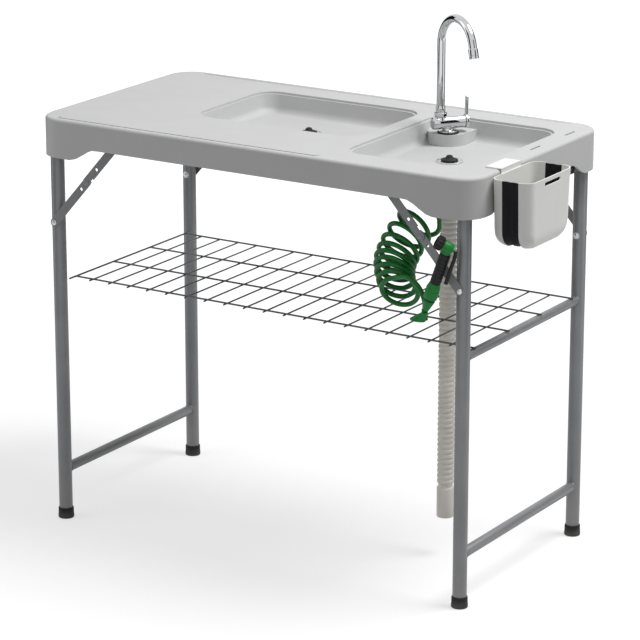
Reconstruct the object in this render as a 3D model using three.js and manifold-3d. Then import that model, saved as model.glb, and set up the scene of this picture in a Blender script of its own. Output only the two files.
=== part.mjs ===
// A folding camping sink stand: a moulded worktop with two basins, a gooseneck faucet, a wire rack
// between two folding leg frames, a ribbed drain hose, a coiled hose with a spray gun, and a
// collapsible bin hooked over the right edge. Millimetres, X along the worktop, Y to the rear, Z up.
import * as THREE from "three";
import { mergeVertices } from "three/addons/utils/BufferGeometryUtils.js";
import Module from "manifold-3d";

const wasm = await Module();
wasm.setup();

// General values
const GAP = 0.3;
const OVERRUN = 1;
const MERGE_DISTANCE = 0.001;
const FINE_SIDES = 18;
const SIDES = 16;
const FEW_SIDES = 8;
const CORNER_STEPS = 6;
const FILLET_STEPS = 3;
const FLAT_STEPS = 3;

// Worktop
const TOP_LENGTH = 1070;
const TOP_DEPTH = 562;
const TOP_HEIGHT = 910;
const TOP_CORNER_RADIUS = 60;
const TOP_EDGE_RADIUS = 7;
const SLAB_THICKNESS = 18;
const SKIRT_WALL = 6.5;
const SKIRT_DROP = 57;
const LOBE_DROP = 85;
const FRONT_LOBE_LENGTH = 91;
const SIDE_LOBE_LENGTH = 76;
const LOBE_CURVE_LENGTH = 65;
const REAR_BEAD_RADIUS = 6;
const REAR_BEAD_RISE = 2.5;
const REAR_BEAD_INSET = 17;
const REAR_BEAD_END_INSET = 70;
const RULER_END_INSET = 52;
const RULER_LENGTH = 648;
const RULER_INSET = 15;
const RULER_WIDTH = 1.6;
const RULER_DEPTH = 0.8;
const RULER_TICK = 8;
const SLOT_END_INSET = 29;
const SLOT_REAR_INSET = 100;
const SLOT_SPACING = 151;
const SLOT_COUNT = 3;
const SLOT_LENGTH = 42;
const SLOT_WIDTH = 4;
const SLOT_DEPTH = 12;

// Basins: where their rims lie along the worktop, and their margins to its edges
const BASIN_DEPTH = 45;
const BASIN_WALL = 4;
const BASIN_RIM_RADIUS = 46;
const BASIN_LEDGE_DROP = 3;
const BASIN_LEDGE_WIDTH = 5;
const BASIN_LIP_RADIUS = 2;
const BASIN_DRAFT = 11;
const BASIN_FILLET = 18;
const LEFT_BASIN_LEFT = -257;
const LEFT_BASIN_RIGHT = 150;
const LEFT_BASIN_FRONT_MARGIN = 189;
const RIGHT_BASIN_LEFT = 186;
const RIGHT_BASIN_END_MARGIN = 55;
const RIGHT_BASIN_FRONT_MARGIN = 76;
const BASIN_REAR_MARGIN = 85;
const RIGHT_DRAIN_SHIFT = -8;
const DECK_RISE = 25;
const DECK_RADIUS = 54;
const DECK_FROM_LEFT = 52;
const DECK_FROM_REAR = 53;
const DECK_SHELL = 5;

// Drains
const DRAIN_HOLE_RADIUS = 16;
const DRAIN_THREAD_RADIUS = 15.6;
const DRAIN_BORE_RADIUS = 12.5;
const DRAIN_FLANGE_RADIUS = 28.5;
const DRAIN_FLANGE_HEIGHT = 1.6;
const DRAIN_FUNNEL_RADIUS = 20;
const DRAIN_THREAD_LENGTH = 40;
const DRAIN_NUT_RADIUS = 22;
const DRAIN_NUT_HEIGHT = 9;
const STOPPER_SIDES = 12;
const STOPPER_RADIUS = 18.5;
const STOPPER_PLUG_RADIUS = 11.8;
const STOPPER_PLUG_DEPTH = 9;
const STOPPER_FLANGE = 2;
const STOPPER_KNOB_RADIUS = 8;
const STOPPER_KNOB_HEIGHT = 14;

// Ribbed drain hose
const HOSE_SIDES = 8;
const HOSE_OVERLAP = 22;
const HOSE_CREST_RADIUS = 18.5;
const HOSE_VALLEY_RADIUS = 15.6;
const HOSE_BORE_RADIUS = 12.6;
const HOSE_COLLAR_LENGTH = 26;
const HOSE_RIB_PITCH = 11.4;
const HOSE_RIBS_PER_BORE_RING = 5;
const HOSE_NECK_LENGTH = 8;
const HOSE_CUFF_LENGTH = 66;
const HOSE_BOTTOM = 88;

// Faucet
const FAUCET_FROM_LEFT = 60.5;
const FAUCET_FROM_REAR = 70;
const FAUCET_LENGTH = 73;
const FAUCET_RADIUS = 13.5;
const FAUCET_TURN = 53;
const FAUCET_AXIS_RISE = 23;
const FAUCET_POST_RADIUS = 12;
const FAUCET_SHANK_RADIUS = 9.5;
const FAUCET_SHANK_LENGTH = 42;
const GASKET_RADIUS = 23;
const GASKET_HEIGHT = 3;
const BACKNUT_RADIUS = 15;
const BACKNUT_HEIGHT = 7;
const RISER_FROM_FRONT = 19;
const RISER_BOSS_RADIUS = 11.8;
const SPOUT_NUT_RADIUS = 13.2;
const SPOUT_NUT_HEIGHT = 10;
const SPOUT_RADIUS = 9.1;
const SPOUT_COLLAR_RADIUS = 10.4;
const SPOUT_COLLAR_HEIGHT = 13;
const SPOUT_INSERTION = 9;
const SPOUT_ARCH_RADIUS = 61;
const SPOUT_ARCH_RISE = 158;
const SPOUT_ARCH_SWEEP = 165;
const SPOUT_TURN = -28;
const SPOUT_SIDES = 12;
const SPOUT_ARCH_STEPS = 14;
const SPOUT_RISER_STEPS = 3;
const SPOUT_END_LENGTH = 7;
const AERATOR_RADIUS = 10.6;
const AERATOR_LENGTH = 21;
const AERATOR_BORE_RADIUS = 8;
const AERATOR_BORE_DEPTH = 12;
const LEVER_CAP_RADIUS = 14.2;
const LEVER_CAP_LENGTH = 9;
const LEVER_WIDTH = 9;
const LEVER_THICKNESS = 4;
const LEVER_HEIGHT = 40;
const LEVER_LEAN = 4;

// Leg frames
const LEG_END_INSET = 35;
const LEG_SIDE_INSET = 33;
const LEG_RADIUS = 14.9;
const LEG_WALL = 1.5;
const LEG_TOP_RISE = 4;
const LEFT_HINGE_DROP = 42.5;
const RIGHT_HINGE_DROP = 75;
const HINGE_BAR_RADIUS = 12;
const LOWER_BAR_HEIGHT = 113;
const LOWER_BAR_RADIUS = 11;
const RACK_BAR_HEIGHT = 533.5;
const RACK_BAR_RADIUS = 10;
const FOOT_SIDES = 12;
const FOOT_HEIGHT = 24;
const FOOT_TOP_RADIUS = 16.8;
const FOOT_BASE_RADIUS = 17.6;
const FOOT_SOLE = 5;
const HINGE_BLOCK_RADIUS = 16;
const HINGE_BLOCK_WIDTH = 30;
const HINGE_BLOCK_INSET = 46;
const HINGE_WEB = 16;
const HINGE_PAD_LENGTH = 46;
const HINGE_PAD_THICKNESS = 3;
const HINGE_PAD_SHIFT = 4;

// Folding stays, two flat links each
const STAY_BOLT_DROP = 233;
const STAY_TOP_INSET = 180;
const STAY_TOP_DROP = 30;
const STAY_WIDTH = 19;
const STAY_THICKNESS = 2.5;
const STAY_PIN_RADIUS = 3;
const STAY_HOLE_RADIUS = 3.6;
const STAY_SPARE_HOLE_RADIUS = 3.5;
const UPPER_SPARE_HOLE_DISTANCE = 41;
const LOWER_SPARE_HOLE_DISTANCE = 24;
const STAY_NOTCH_WIDTH = 9;
const STAY_NOTCH_DEPTH = 3.5;
const STAY_NOTCH_OFFSET = 14;
const RIVET_HEAD_RADIUS = 6.2;
const RIVET_HEAD_HEIGHT = 1.8;
const STAY_NUT_RADIUS = 7.5;
const STAY_NUT_HEIGHT = 4;
const STAY_TAB_THICKNESS = 2.5;
const STAY_TAB_WIDTH = 26;
const STAY_FOOT_DEPTH = 30;
const STAY_FOOT_LENGTH = 60;
const STAY_FOOT_THICKNESS = 2.5;

// Wire rack
const RACK_LONG_COUNT = 4;
const RACK_LONG_SPAN = 418;
const RACK_LEFT_INSET = 12;
const RACK_RIGHT_OVERLAP = 9;
const RACK_LONG_RADIUS = 2;
const RACK_CROSS_COUNT = 19;
const RACK_CELLS_LEFT_OF_HOSE = 15;
const RACK_CROSS_PITCH = 49.8;
const RACK_CROSS_RADIUS = 1.75;
const RACK_CROSS_OVERHANG = 6;
const RACK_WELD = 0.6;

// Bin
const BIN_LENGTH = 184;
const BIN_HEIGHT = 142;
const BIN_DEPTH = 93;
const BIN_FROM_SLOT = 6;
const BIN_RIM_DROP = 8;
const BIN_TAPER = 4;
const BIN_DRAFT = 2;
const BIN_CORNER_RADIUS = 24;
const BIN_FLOOR_RADIUS = 36;
const BIN_FLOOR_DRAW_X = 19;
const BIN_FLOOR_DRAW_Y = 40;
const BIN_WALL = 2.5;
const BIN_SHELL_DEPTH = 28;
const BIN_GUSSET_INSET = 1.2;
const BIN_SLOT_LENGTH = 66;
const BIN_SLOT_HEIGHT = 6;
const BIN_SLOT_DROP = 12;
const HOOK_THICKNESS = 2.2;
const HOOK_WIDTH = 81;
const HOOK_FROM_SLOT = 7.5;
const HOOK_REACH = 34;
const HOOK_STRAP_LENGTH = 34;
const HOOK_TONGUE_WIDTH = 34;
const HOOK_TONGUE_DEPTH = 9;

// Coiled hose
const CORD_RADIUS = 5.2;
const COIL_LOOPS = 8.78;
const COIL_RADIUS = 41;
const COIL_STEPS_PER_LOOP = 24;
const COIL_START_DEGREES = 190;
const COIL_ROUTE = [
  [357, -166, 786],
  [333, -173, 757],
  [319, -180, 731],
  [312, -187, 711],
  [309, -194, 695],
  [312, -202, 681],
  [319, -210, 667],
  [330, -219, 653],
  [344, -228, 640],
];
const COIL_TOP_AXIS_SHARE = new THREE.Vector3(-0.13, -0.85, -0.51);
const COIL_MIDDLE_AXIS_SHARE = new THREE.Vector3(0.03, -0.79, -0.61);
const COIL_BOTTOM_AXIS_SHARE = new THREE.Vector3(0.14, -0.88, -0.45);
const LEAD_ROUTE = [
  [247, 122, 808],
  [249, 111, 793],
  [252, 95, 784.5],
  [256, 76, 783],
  [271, 19, 792],
  [296, -36, 812],
  [327, -90, 835],
  [361, -147, 850.5],
  [372, -163, 848.5],
  [382, -175, 840],
  [390.5, -181.5, 825.5],
  [396, -182, 808],
];
const TAIL_ROUTE = [
  [366.6, -256.6, 685.4],
  [382.3, -261.7, 685.4],
  [406.9, -269.1, 674.6],
  [420.7, -273, 658],
];
const CORD_SIDES = 6;
const CORD_STEP = 22;
const UNION_RADIUS = 9;
const UNION_LENGTH = 20;

// Spray gun
const GUN_FRONT_CLEARANCE = 5.5;
const GUN_TOP_END_INSET = 55.5;
const GUN_TOP_DROP = 153;
const GUN_TAIL_END_INSET = 102;
const GUN_TAIL_DROP = 282;
const GUN_GRIP_LENGTH = 68;
const GUN_GRIP_RADIUS = 11.3;
const GUN_CONNECTOR_LENGTH = 35;
const GUN_CONNECTOR_RADIUS = 14.3;
const GUN_RING_LENGTH = 4;
const GUN_RING_RADIUS = 12.6;
const GUN_CONE_LENGTH = 24;
const GUN_CONE_RADIUS = 12.4;
const GUN_CONE_TIP_RADIUS = 6;
const GUN_HEAD_RADIUS = 11.5;
const GUN_HEAD_LENGTH = 22;
const GUN_HEAD_OFFSET = 14;
const GUN_NOZZLE_SHARE = new THREE.Vector3(-0.6, -0.4, 0.42);
const GUN_DIAL_RADIUS = 15;
const GUN_DIAL_LENGTH = 15;
const GUN_DIAL_RIBS = 14;
const GUN_DIAL_RIB_RADIUS = 1.6;
const GUN_DIAL_FACE_RADIUS = 10;
const GUN_DIAL_FACE_DEPTH = 2;
const GUN_TRIGGER_RADIUS = 3.2;
const GUN_TRIGGER_BOW = 21.5;
const GUN_TRIGGER_END = 22;
const GUN_TRIGGER_PLAY = 0.5;
const GUN_TRIGGER_TOP = 19.4;
const GUN_TRIGGER_LENGTH = 58;
const GUN_LUG_RADIUS = 2.4;
const GUN_FLARE_LENGTH = 35;
const GUN_FLARE_WIDTH = 18;
const GUN_FLARE_HEIGHT = 15;
const GUN_FLARE_RIM = 5;
const GUN_FLARE_SHIFT = 16;
const GUN_NECK_RADIUS = 7;
const GUN_SOCKET_RADIUS = 6.6;
const GUN_SOCKET_SHIFT = 7;
const GUN_SOCKET_BACK = 12.6;
const GUN_SOCKET_RISE = 4;

// Derived heights, places and planes
const UNDERSIDE = TOP_HEIGHT - SLAB_THICKNESS;
const FLOOR = TOP_HEIGHT - BASIN_DEPTH;
const PAN_BOTTOM = FLOOR - BASIN_WALL;
const DECK_HEIGHT = FLOOR + DECK_RISE;
const LEFT_BASIN = {
  left: LEFT_BASIN_LEFT,
  right: LEFT_BASIN_RIGHT,
  front: LEFT_BASIN_FRONT_MARGIN - TOP_DEPTH / 2,
  rear: TOP_DEPTH / 2 - BASIN_REAR_MARGIN,
};
const RIGHT_BASIN = {
  left: RIGHT_BASIN_LEFT,
  right: TOP_LENGTH / 2 - RIGHT_BASIN_END_MARGIN,
  front: RIGHT_BASIN_FRONT_MARGIN - TOP_DEPTH / 2,
  rear: TOP_DEPTH / 2 - BASIN_REAR_MARGIN,
};
const SLOT_X = TOP_LENGTH / 2 - SLOT_END_INSET;
const SLOT_REAR_Y = TOP_DEPTH / 2 - SLOT_REAR_INSET;
const SLOT_FRONT_Y = SLOT_REAR_Y - SLOT_SPACING * (SLOT_COUNT - 1);
const BIN_CENTRE_Y = SLOT_FRONT_Y - BIN_FROM_SLOT;
const HOOK_CENTRE_Y = SLOT_FRONT_Y - HOOK_FROM_SLOT;
const LEG_X = TOP_LENGTH / 2 - LEG_END_INSET;
const LEG_Y = TOP_DEPTH / 2 - LEG_SIDE_INSET;
const LEFT_HINGE_HEIGHT = TOP_HEIGHT - LEFT_HINGE_DROP;
const RIGHT_HINGE_HEIGHT = TOP_HEIGHT - RIGHT_HINGE_DROP;
const STAY_BOLT_HEIGHT = TOP_HEIGHT - STAY_BOLT_DROP;
const LOWER_LINK_Y = LEG_Y + LEG_RADIUS + GAP + STAY_THICKNESS / 2;
const UPPER_LINK_Y = LOWER_LINK_Y + STAY_THICKNESS + GAP;
const DRAIN_NUT_TOP = PAN_BOTTOM - GAP;
const RACK_LEFT = RACK_LEFT_INSET - LEG_X;
const GUN_Y = -TOP_DEPTH / 2 - GUN_FRONT_CLEARANCE;
const GUN_GRIP_TOP = new THREE.Vector3(TOP_LENGTH / 2 - GUN_TOP_END_INSET, GUN_Y, TOP_HEIGHT - GUN_TOP_DROP);
const GUN_TAIL = new THREE.Vector3(TOP_LENGTH / 2 - GUN_TAIL_END_INSET, GUN_Y, TOP_HEIGHT - GUN_TAIL_DROP);

const COLOURS = {
  worktop: 0xcbccca,
  frame: 0x76787a,
  foot: 0x1d1e20,
  zinc: 0xb9bcc0,
  wire: 0x3d3f42,
  chrome: 0xd9dcdf,
  rubber: 0x17181a,
  drain: 0xbfc2c4,
  ribbed: 0xc9bfb4,
  hose: 0x125a25,
  gun: 0x1f8a3a,
  bin: 0xdedfda,
  gusset: 0x222327,
};

// Working methods

const vec = (x, y, z) => new THREE.Vector3(x, y, z);

// A closed geometry as a solid with its faces out, ready to cut and join.
function solid(geometry) {
  const plain = geometry.index ? geometry.toNonIndexed() : geometry.clone();
  for (const name of Object.keys(plain.attributes)) {
    if (name !== "position") plain.deleteAttribute(name);
  }
  const merged = mergeVertices(plain, MERGE_DISTANCE);
  const vertProperties = merged.attributes.position.array;
  const triVerts = new Uint32Array(merged.index.array);
  const made = new wasm.Manifold(new wasm.Mesh({ numProp: 3, vertProperties, triVerts }));
  if (made.volume() > 0) return made;
  return new wasm.Manifold(
    new wasm.Mesh({ numProp: 3, vertProperties, triVerts: triVerts.slice().reverse() }),
  );
}

// The corner radius of a round hole of few sides that clears a round piece of a given radius.
const boreFor = (radius, sides) => (radius + GAP) / Math.cos(Math.PI / sides);

const join = (...solids) => solids.reduce((all, next) => all.add(next));
const cut = (body, ...tools) => tools.reduce((left, tool) => left.subtract(tool), body);

// A named mesh of one solid, set at a place in its group.
function piece(name, made, colour, finish, place = vec(0, 0, 0)) {
  const { numProp, vertProperties, triVerts, numVert } = made.getMesh();
  const points = new Float32Array(numVert * 3);
  for (let i = 0; i < numVert; i += 1) {
    points.set(vertProperties.subarray(i * numProp, i * numProp + 3), i * 3);
  }
  const shared = new THREE.BufferGeometry();
  shared.setAttribute("position", new THREE.BufferAttribute(points, 3));
  shared.setIndex(new THREE.BufferAttribute(triVerts, 1));
  const geometry = shared.toNonIndexed();
  geometry.computeVertexNormals();
  const mesh = new THREE.Mesh(geometry, new THREE.MeshStandardMaterial({ color: colour, ...finish }));
  mesh.name = name;
  mesh.position.copy(place);
  return mesh;
}

const MATT = { roughness: 0.6, metalness: 0 };
const COATED = { roughness: 0.5, metalness: 0.3 };
const BRIGHT = { roughness: 0.12, metalness: 1 };
const PLATED = { roughness: 0.35, metalness: 0.9 };
const SOFT = { roughness: 0.85, metalness: 0 };

function block(x0, x1, y0, y1, z0, z1) {
  const box = new THREE.BoxGeometry(x1 - x0, y1 - y0, z1 - z0);
  return solid(box.translate((x0 + x1) / 2, (y0 + y1) / 2, (z0 + z1) / 2));
}

// A round or conical bar between two points.
function bar(from, to, radius, sides = SIDES, endRadius = radius) {
  const along = to.clone().sub(from);
  const geometry = new THREE.CylinderGeometry(endRadius, radius, along.length(), sides);
  geometry.translate(0, along.length() / 2, 0);
  const turn = new THREE.Quaternion().setFromUnitVectors(vec(0, 1, 0), along.normalize());
  return solid(geometry.applyQuaternion(turn).translate(from.x, from.y, from.z));
}

// A profile of [radius, height] pairs turned round the Z axis. It closes on itself.
function turned(profile, sides = SIDES) {
  const points = profile.map(([radius, height]) => new THREE.Vector2(radius, height));
  points.push(points[0].clone());
  return solid(new THREE.LatheGeometry(points, sides).rotateX(Math.PI / 2));
}

// A profile turned round any line: its heights run from one point towards another.
function turnedAlong(profile, from, to, sides = SIDES) {
  const direction = to.clone().sub(from).normalize();
  const turn = new THREE.Quaternion().setFromUnitVectors(vec(0, 0, 1), direction);
  const matrix = new THREE.Matrix4().compose(from, turn, vec(1, 1, 1));
  return turned(profile, sides).transform(matrix.elements);
}

// A flat shape pushed from one place to another along X or along Y; its own y is the height.
function pushedAlongX(shape, x0, x1, curveSegments = CORNER_STEPS) {
  const geometry = new THREE.ExtrudeGeometry(shape, { depth: x1 - x0, bevelEnabled: false, curveSegments });
  const basis = new THREE.Matrix4().makeBasis(vec(0, 1, 0), vec(0, 0, 1), vec(1, 0, 0));
  return solid(geometry.applyMatrix4(basis).translate(x0, 0, 0));
}

function pushedAlongY(shape, y0, y1, curveSegments = CORNER_STEPS) {
  const geometry = new THREE.ExtrudeGeometry(shape, { depth: y1 - y0, bevelEnabled: false, curveSegments });
  const basis = new THREE.Matrix4().makeBasis(vec(1, 0, 0), vec(0, 0, 1), vec(0, -1, 0));
  return solid(geometry.applyMatrix4(basis).translate(0, y1, 0));
}

// A level ring of points round a rectangle with round corners.
function roundedRing({ left, right, front, rear }, radius, height) {
  const ring = [];
  const corners = [
    [right - radius, rear - radius],
    [left + radius, rear - radius],
    [left + radius, front + radius],
    [right - radius, front + radius],
  ];
  corners.forEach(([x, y], quarter) => {
    for (let step = 0; step <= CORNER_STEPS; step += 1) {
      const angle = ((quarter + step / CORNER_STEPS) * Math.PI) / 2;
      ring.push(vec(x + radius * Math.cos(angle), y + radius * Math.sin(angle), height));
    }
  });
  return ring;
}

const grown = ({ left, right, front, rear }, by) => ({
  left: left - by,
  right: right + by,
  front: front - by,
  rear: rear + by,
});

// A closed skin over a stack of rings with equal numbers of points, capped at both ends.
function loft(rings) {
  const count = rings[0].length;
  const points = rings.flat();
  const faces = [];
  for (let level = 0; level + 1 < rings.length; level += 1) {
    for (let i = 0; i < count; i += 1) {
      const a = level * count + i;
      const b = level * count + ((i + 1) % count);
      faces.push(a, b, b + count, a, b + count, a + count);
    }
  }
  const last = (rings.length - 1) * count;
  for (let i = 1; i + 1 < count; i += 1) {
    faces.push(0, i + 1, i, last, last + i, last + i + 1);
  }
  const geometry = new THREE.BufferGeometry().setFromPoints(points);
  geometry.setIndex(faces);
  return solid(geometry);
}

// A tube of one section along a curve.
function tube(path, radius, sides, steps) {
  const section = new THREE.Shape();
  for (let i = 0; i < sides; i += 1) {
    const angle = (2 * Math.PI * i) / sides;
    const [x, y] = [radius * Math.cos(angle), radius * Math.sin(angle)];
    if (i === 0) section.moveTo(x, y);
    else section.lineTo(x, y);
  }
  section.closePath();
  return solid(new THREE.ExtrudeGeometry(section, { steps, extrudePath: path, bevelEnabled: false }));
}

// Worktop

// The hollow of a basin, grown by the wall for the pan that surrounds it.
function basinHollow(basin, wall, top) {
  const inner = grown(basin, wall);
  const innerRadius = BASIN_RIM_RADIUS + wall;
  const ledge = grown(inner, -BASIN_LEDGE_WIDTH);
  const ledgeRadius = innerRadius - BASIN_LEDGE_WIDTH;
  const ledgeHeight = TOP_HEIGHT - BASIN_LEDGE_DROP - wall;
  const rings = [
    roundedRing(inner, innerRadius, top),
    roundedRing(inner, innerRadius, ledgeHeight),
    roundedRing(ledge, ledgeRadius, ledgeHeight),
    roundedRing(
      grown(ledge, -BASIN_LIP_RADIUS),
      ledgeRadius - BASIN_LIP_RADIUS,
      ledgeHeight - BASIN_LIP_RADIUS,
    ),
  ];
  const floor = FLOOR - wall;
  for (let step = 0; step <= FILLET_STEPS; step += 1) {
    const angle = (step / FILLET_STEPS) * (Math.PI / 2);
    const inset = BASIN_DRAFT + BASIN_FILLET * (1 - Math.cos(angle));
    const height = floor + BASIN_FILLET * (1 - Math.sin(angle));
    rings.push(roundedRing(grown(ledge, -inset), Math.max(ledgeRadius - inset, BASIN_LEDGE_WIDTH), height));
  }
  return loft(rings.reverse());
}

// The raised deck in the rear left corner of the right basin, round towards the front.
function deckPrism(radius, bottom, top) {
  const x = RIGHT_BASIN.left + DECK_FROM_LEFT;
  const y = RIGHT_BASIN.rear - DECK_FROM_REAR;
  const round = bar(vec(x, y, bottom), vec(x, y, top), radius, FINE_SIDES);
  const toRear = block(RIGHT_BASIN.left, x + radius, y, RIGHT_BASIN.rear, bottom, top);
  const toLeft = block(RIGHT_BASIN.left, x, y - radius / 2, RIGHT_BASIN.rear, bottom, top);
  return join(round, toRear, toLeft);
}

// Material to remove so that a skirt rises between its two corner lobes.
function skirtRelief(halfLength, lobeLength) {
  const low = TOP_HEIGHT - LOBE_DROP;
  const high = TOP_HEIGHT - SKIRT_DROP;
  const foot = halfLength - lobeLength;
  const crown = foot - LOBE_CURVE_LENGTH;
  const middle = (foot + crown) / 2;
  const shape = new THREE.Shape();
  shape.moveTo(-foot, low - OVERRUN);
  shape.lineTo(foot, low - OVERRUN);
  shape.lineTo(foot, low);
  shape.bezierCurveTo(middle, low, middle, high, crown, high);
  shape.lineTo(-crown, high);
  shape.bezierCurveTo(-middle, high, -middle, low, -foot, low);
  shape.closePath();
  return shape;
}

function makeWorktop(drains, shank) {
  const outline = {
    left: -TOP_LENGTH / 2,
    right: TOP_LENGTH / 2,
    front: -TOP_DEPTH / 2,
    rear: TOP_DEPTH / 2,
  };
  const skin = [roundedRing(outline, TOP_CORNER_RADIUS, TOP_HEIGHT - LOBE_DROP)];
  for (let step = 0; step <= CORNER_STEPS / 2; step += 1) {
    const angle = (step / (CORNER_STEPS / 2)) * (Math.PI / 2);
    const inset = TOP_EDGE_RADIUS * (1 - Math.cos(angle));
    const height = TOP_HEIGHT - TOP_EDGE_RADIUS * (1 - Math.sin(angle));
    skin.push(roundedRing(grown(outline, -inset), TOP_CORNER_RADIUS - inset, height));
  }
  const room = grown(outline, -SKIRT_WALL);
  const roomRadius = TOP_CORNER_RADIUS - SKIRT_WALL;
  const hollow = loft([
    roundedRing(room, roomRadius, TOP_HEIGHT - LOBE_DROP - OVERRUN),
    roundedRing(room, roomRadius, UNDERSIDE),
  ]);
  const longRelief = skirtRelief(TOP_LENGTH / 2, FRONT_LOBE_LENGTH);
  const endRelief = skirtRelief(TOP_DEPTH / 2, SIDE_LOBE_LENGTH);
  const shell = cut(
    loft(skin),
    hollow,
    pushedAlongY(longRelief, outline.front - OVERRUN, outline.rear + OVERRUN),
    pushedAlongX(endRelief, outline.left - OVERRUN, outline.right + OVERRUN),
  );
  const beadY = outline.rear - REAR_BEAD_INSET;
  const beadZ = TOP_HEIGHT + REAR_BEAD_RISE - REAR_BEAD_RADIUS;
  const bead = bar(
    vec(outline.left + REAR_BEAD_END_INSET, beadY, beadZ),
    vec(outline.right - REAR_BEAD_END_INSET, beadY, beadZ),
    REAR_BEAD_RADIUS,
    SIDES,
  );
  const pans = [LEFT_BASIN, RIGHT_BASIN].map((basin) => basinHollow(basin, BASIN_WALL, TOP_HEIGHT - OVERRUN));
  const hollows = [LEFT_BASIN, RIGHT_BASIN].map((basin) => basinHollow(basin, 0, TOP_HEIGHT + OVERRUN));
  const deck = deckPrism(DECK_RADIUS, PAN_BOTTOM, DECK_HEIGHT).intersect(pans[1]);
  const inBasin = grown(RIGHT_BASIN, -BASIN_DRAFT);
  const basinCore = loft([
    roundedRing(inBasin, BASIN_RIM_RADIUS, PAN_BOTTOM - OVERRUN),
    roundedRing(inBasin, BASIN_RIM_RADIUS, DECK_HEIGHT),
  ]);
  const deckRoof = DECK_HEIGHT - DECK_SHELL;
  const deckRoom = deckPrism(DECK_RADIUS - DECK_SHELL, PAN_BOTTOM - OVERRUN, deckRoof).intersect(basinCore);
  const rulerY = outline.front + RULER_INSET;
  const rulerEnds = [outline.left + RULER_END_INSET, outline.left + RULER_END_INSET + RULER_LENGTH];
  const half = RULER_WIDTH / 2;
  const groove = (x0, x1, y0, y1, depth) => block(x0, x1, y0, y1, TOP_HEIGHT - depth, TOP_HEIGHT + OVERRUN);
  const ruler = groove(...rulerEnds, rulerY - half, rulerY + half, RULER_DEPTH);
  const tickTop = rulerY + RULER_TICK;
  const ticks = rulerEnds.map((x) => groove(x - half, x + half, rulerY - half, tickTop, RULER_DEPTH));
  const slots = [];
  for (let i = 0; i < SLOT_COUNT; i += 1) {
    const y = SLOT_REAR_Y - i * SLOT_SPACING;
    const [x0, x1] = [SLOT_X - SLOT_WIDTH / 2, SLOT_X + SLOT_WIDTH / 2];
    slots.push(groove(x0, x1, y - SLOT_LENGTH / 2, y + SLOT_LENGTH / 2, SLOT_DEPTH));
  }
  const drainHoles = drains.map(({ x, y }) =>
    bar(vec(x, y, PAN_BOTTOM - OVERRUN), vec(x, y, FLOOR + OVERRUN), DRAIN_HOLE_RADIUS),
  );
  const shankHole = bar(
    vec(shank.x, shank.y, PAN_BOTTOM),
    vec(shank.x, shank.y, DECK_HEIGHT + OVERRUN),
    FAUCET_SHANK_RADIUS + GAP,
  );
  const basins = cut(join(shell, bead, ...pans), ...hollows);
  return cut(join(basins, deck), deckRoom, ruler, ...ticks, ...slots, ...drainHoles, shankHole);
}

// Drains

const drainOf = ({ left, right, front, rear }, shift = 0) => ({
  x: (left + right) / 2 + shift,
  y: (front + rear) / 2,
});

function makeDrainFlange() {
  const seat = FLOOR + GAP;
  const bottom = PAN_BOTTOM - DRAIN_THREAD_LENGTH;
  return turned(
    [
      [DRAIN_BORE_RADIUS, bottom],
      [DRAIN_THREAD_RADIUS, bottom],
      [DRAIN_THREAD_RADIUS, seat],
      [DRAIN_FLANGE_RADIUS, seat],
      [DRAIN_FLANGE_RADIUS, seat + DRAIN_FLANGE_HEIGHT / 2],
      [DRAIN_FLANGE_RADIUS - DRAIN_FLANGE_HEIGHT, seat + DRAIN_FLANGE_HEIGHT],
      [DRAIN_FUNNEL_RADIUS, seat + DRAIN_FLANGE_HEIGHT],
      [DRAIN_BORE_RADIUS, seat],
    ],
    FINE_SIDES,
  );
}

function makeDrainNut() {
  const body = turned(
    [
      [DRAIN_THREAD_RADIUS + GAP, -DRAIN_NUT_HEIGHT],
      [DRAIN_NUT_RADIUS, -DRAIN_NUT_HEIGHT],
      [DRAIN_NUT_RADIUS, 0],
      [DRAIN_THREAD_RADIUS + GAP, 0],
    ],
    SIDES,
  );
  const reach = DRAIN_NUT_RADIUS + BASIN_WALL;
  const lug = block(-reach, reach, -BASIN_WALL, BASIN_WALL, -DRAIN_NUT_HEIGHT, 0);
  const bottom = -DRAIN_NUT_HEIGHT - OVERRUN;
  const bore = bar(vec(0, 0, bottom), vec(0, 0, OVERRUN), DRAIN_THREAD_RADIUS + GAP);
  return cut(join(body, lug), bore);
}

function makeStopper() {
  const top = STOPPER_FLANGE;
  const waist = STOPPER_KNOB_RADIUS / 2;
  return turned(
    [
      [0, -STOPPER_PLUG_DEPTH],
      [STOPPER_PLUG_RADIUS - GAP * 2, -STOPPER_PLUG_DEPTH],
      [STOPPER_PLUG_RADIUS, 0],
      [STOPPER_RADIUS, 0],
      [STOPPER_RADIUS, top / 2],
      [STOPPER_RADIUS - top / 2, top],
      [STOPPER_KNOB_RADIUS, top + top / 2],
      [waist, top + STOPPER_KNOB_HEIGHT / 2],
      [waist + top / 2, top + STOPPER_KNOB_HEIGHT - top],
      [waist, top + STOPPER_KNOB_HEIGHT],
      [0, top + STOPPER_KNOB_HEIGHT],
    ],
    STOPPER_SIDES,
  );
}

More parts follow.
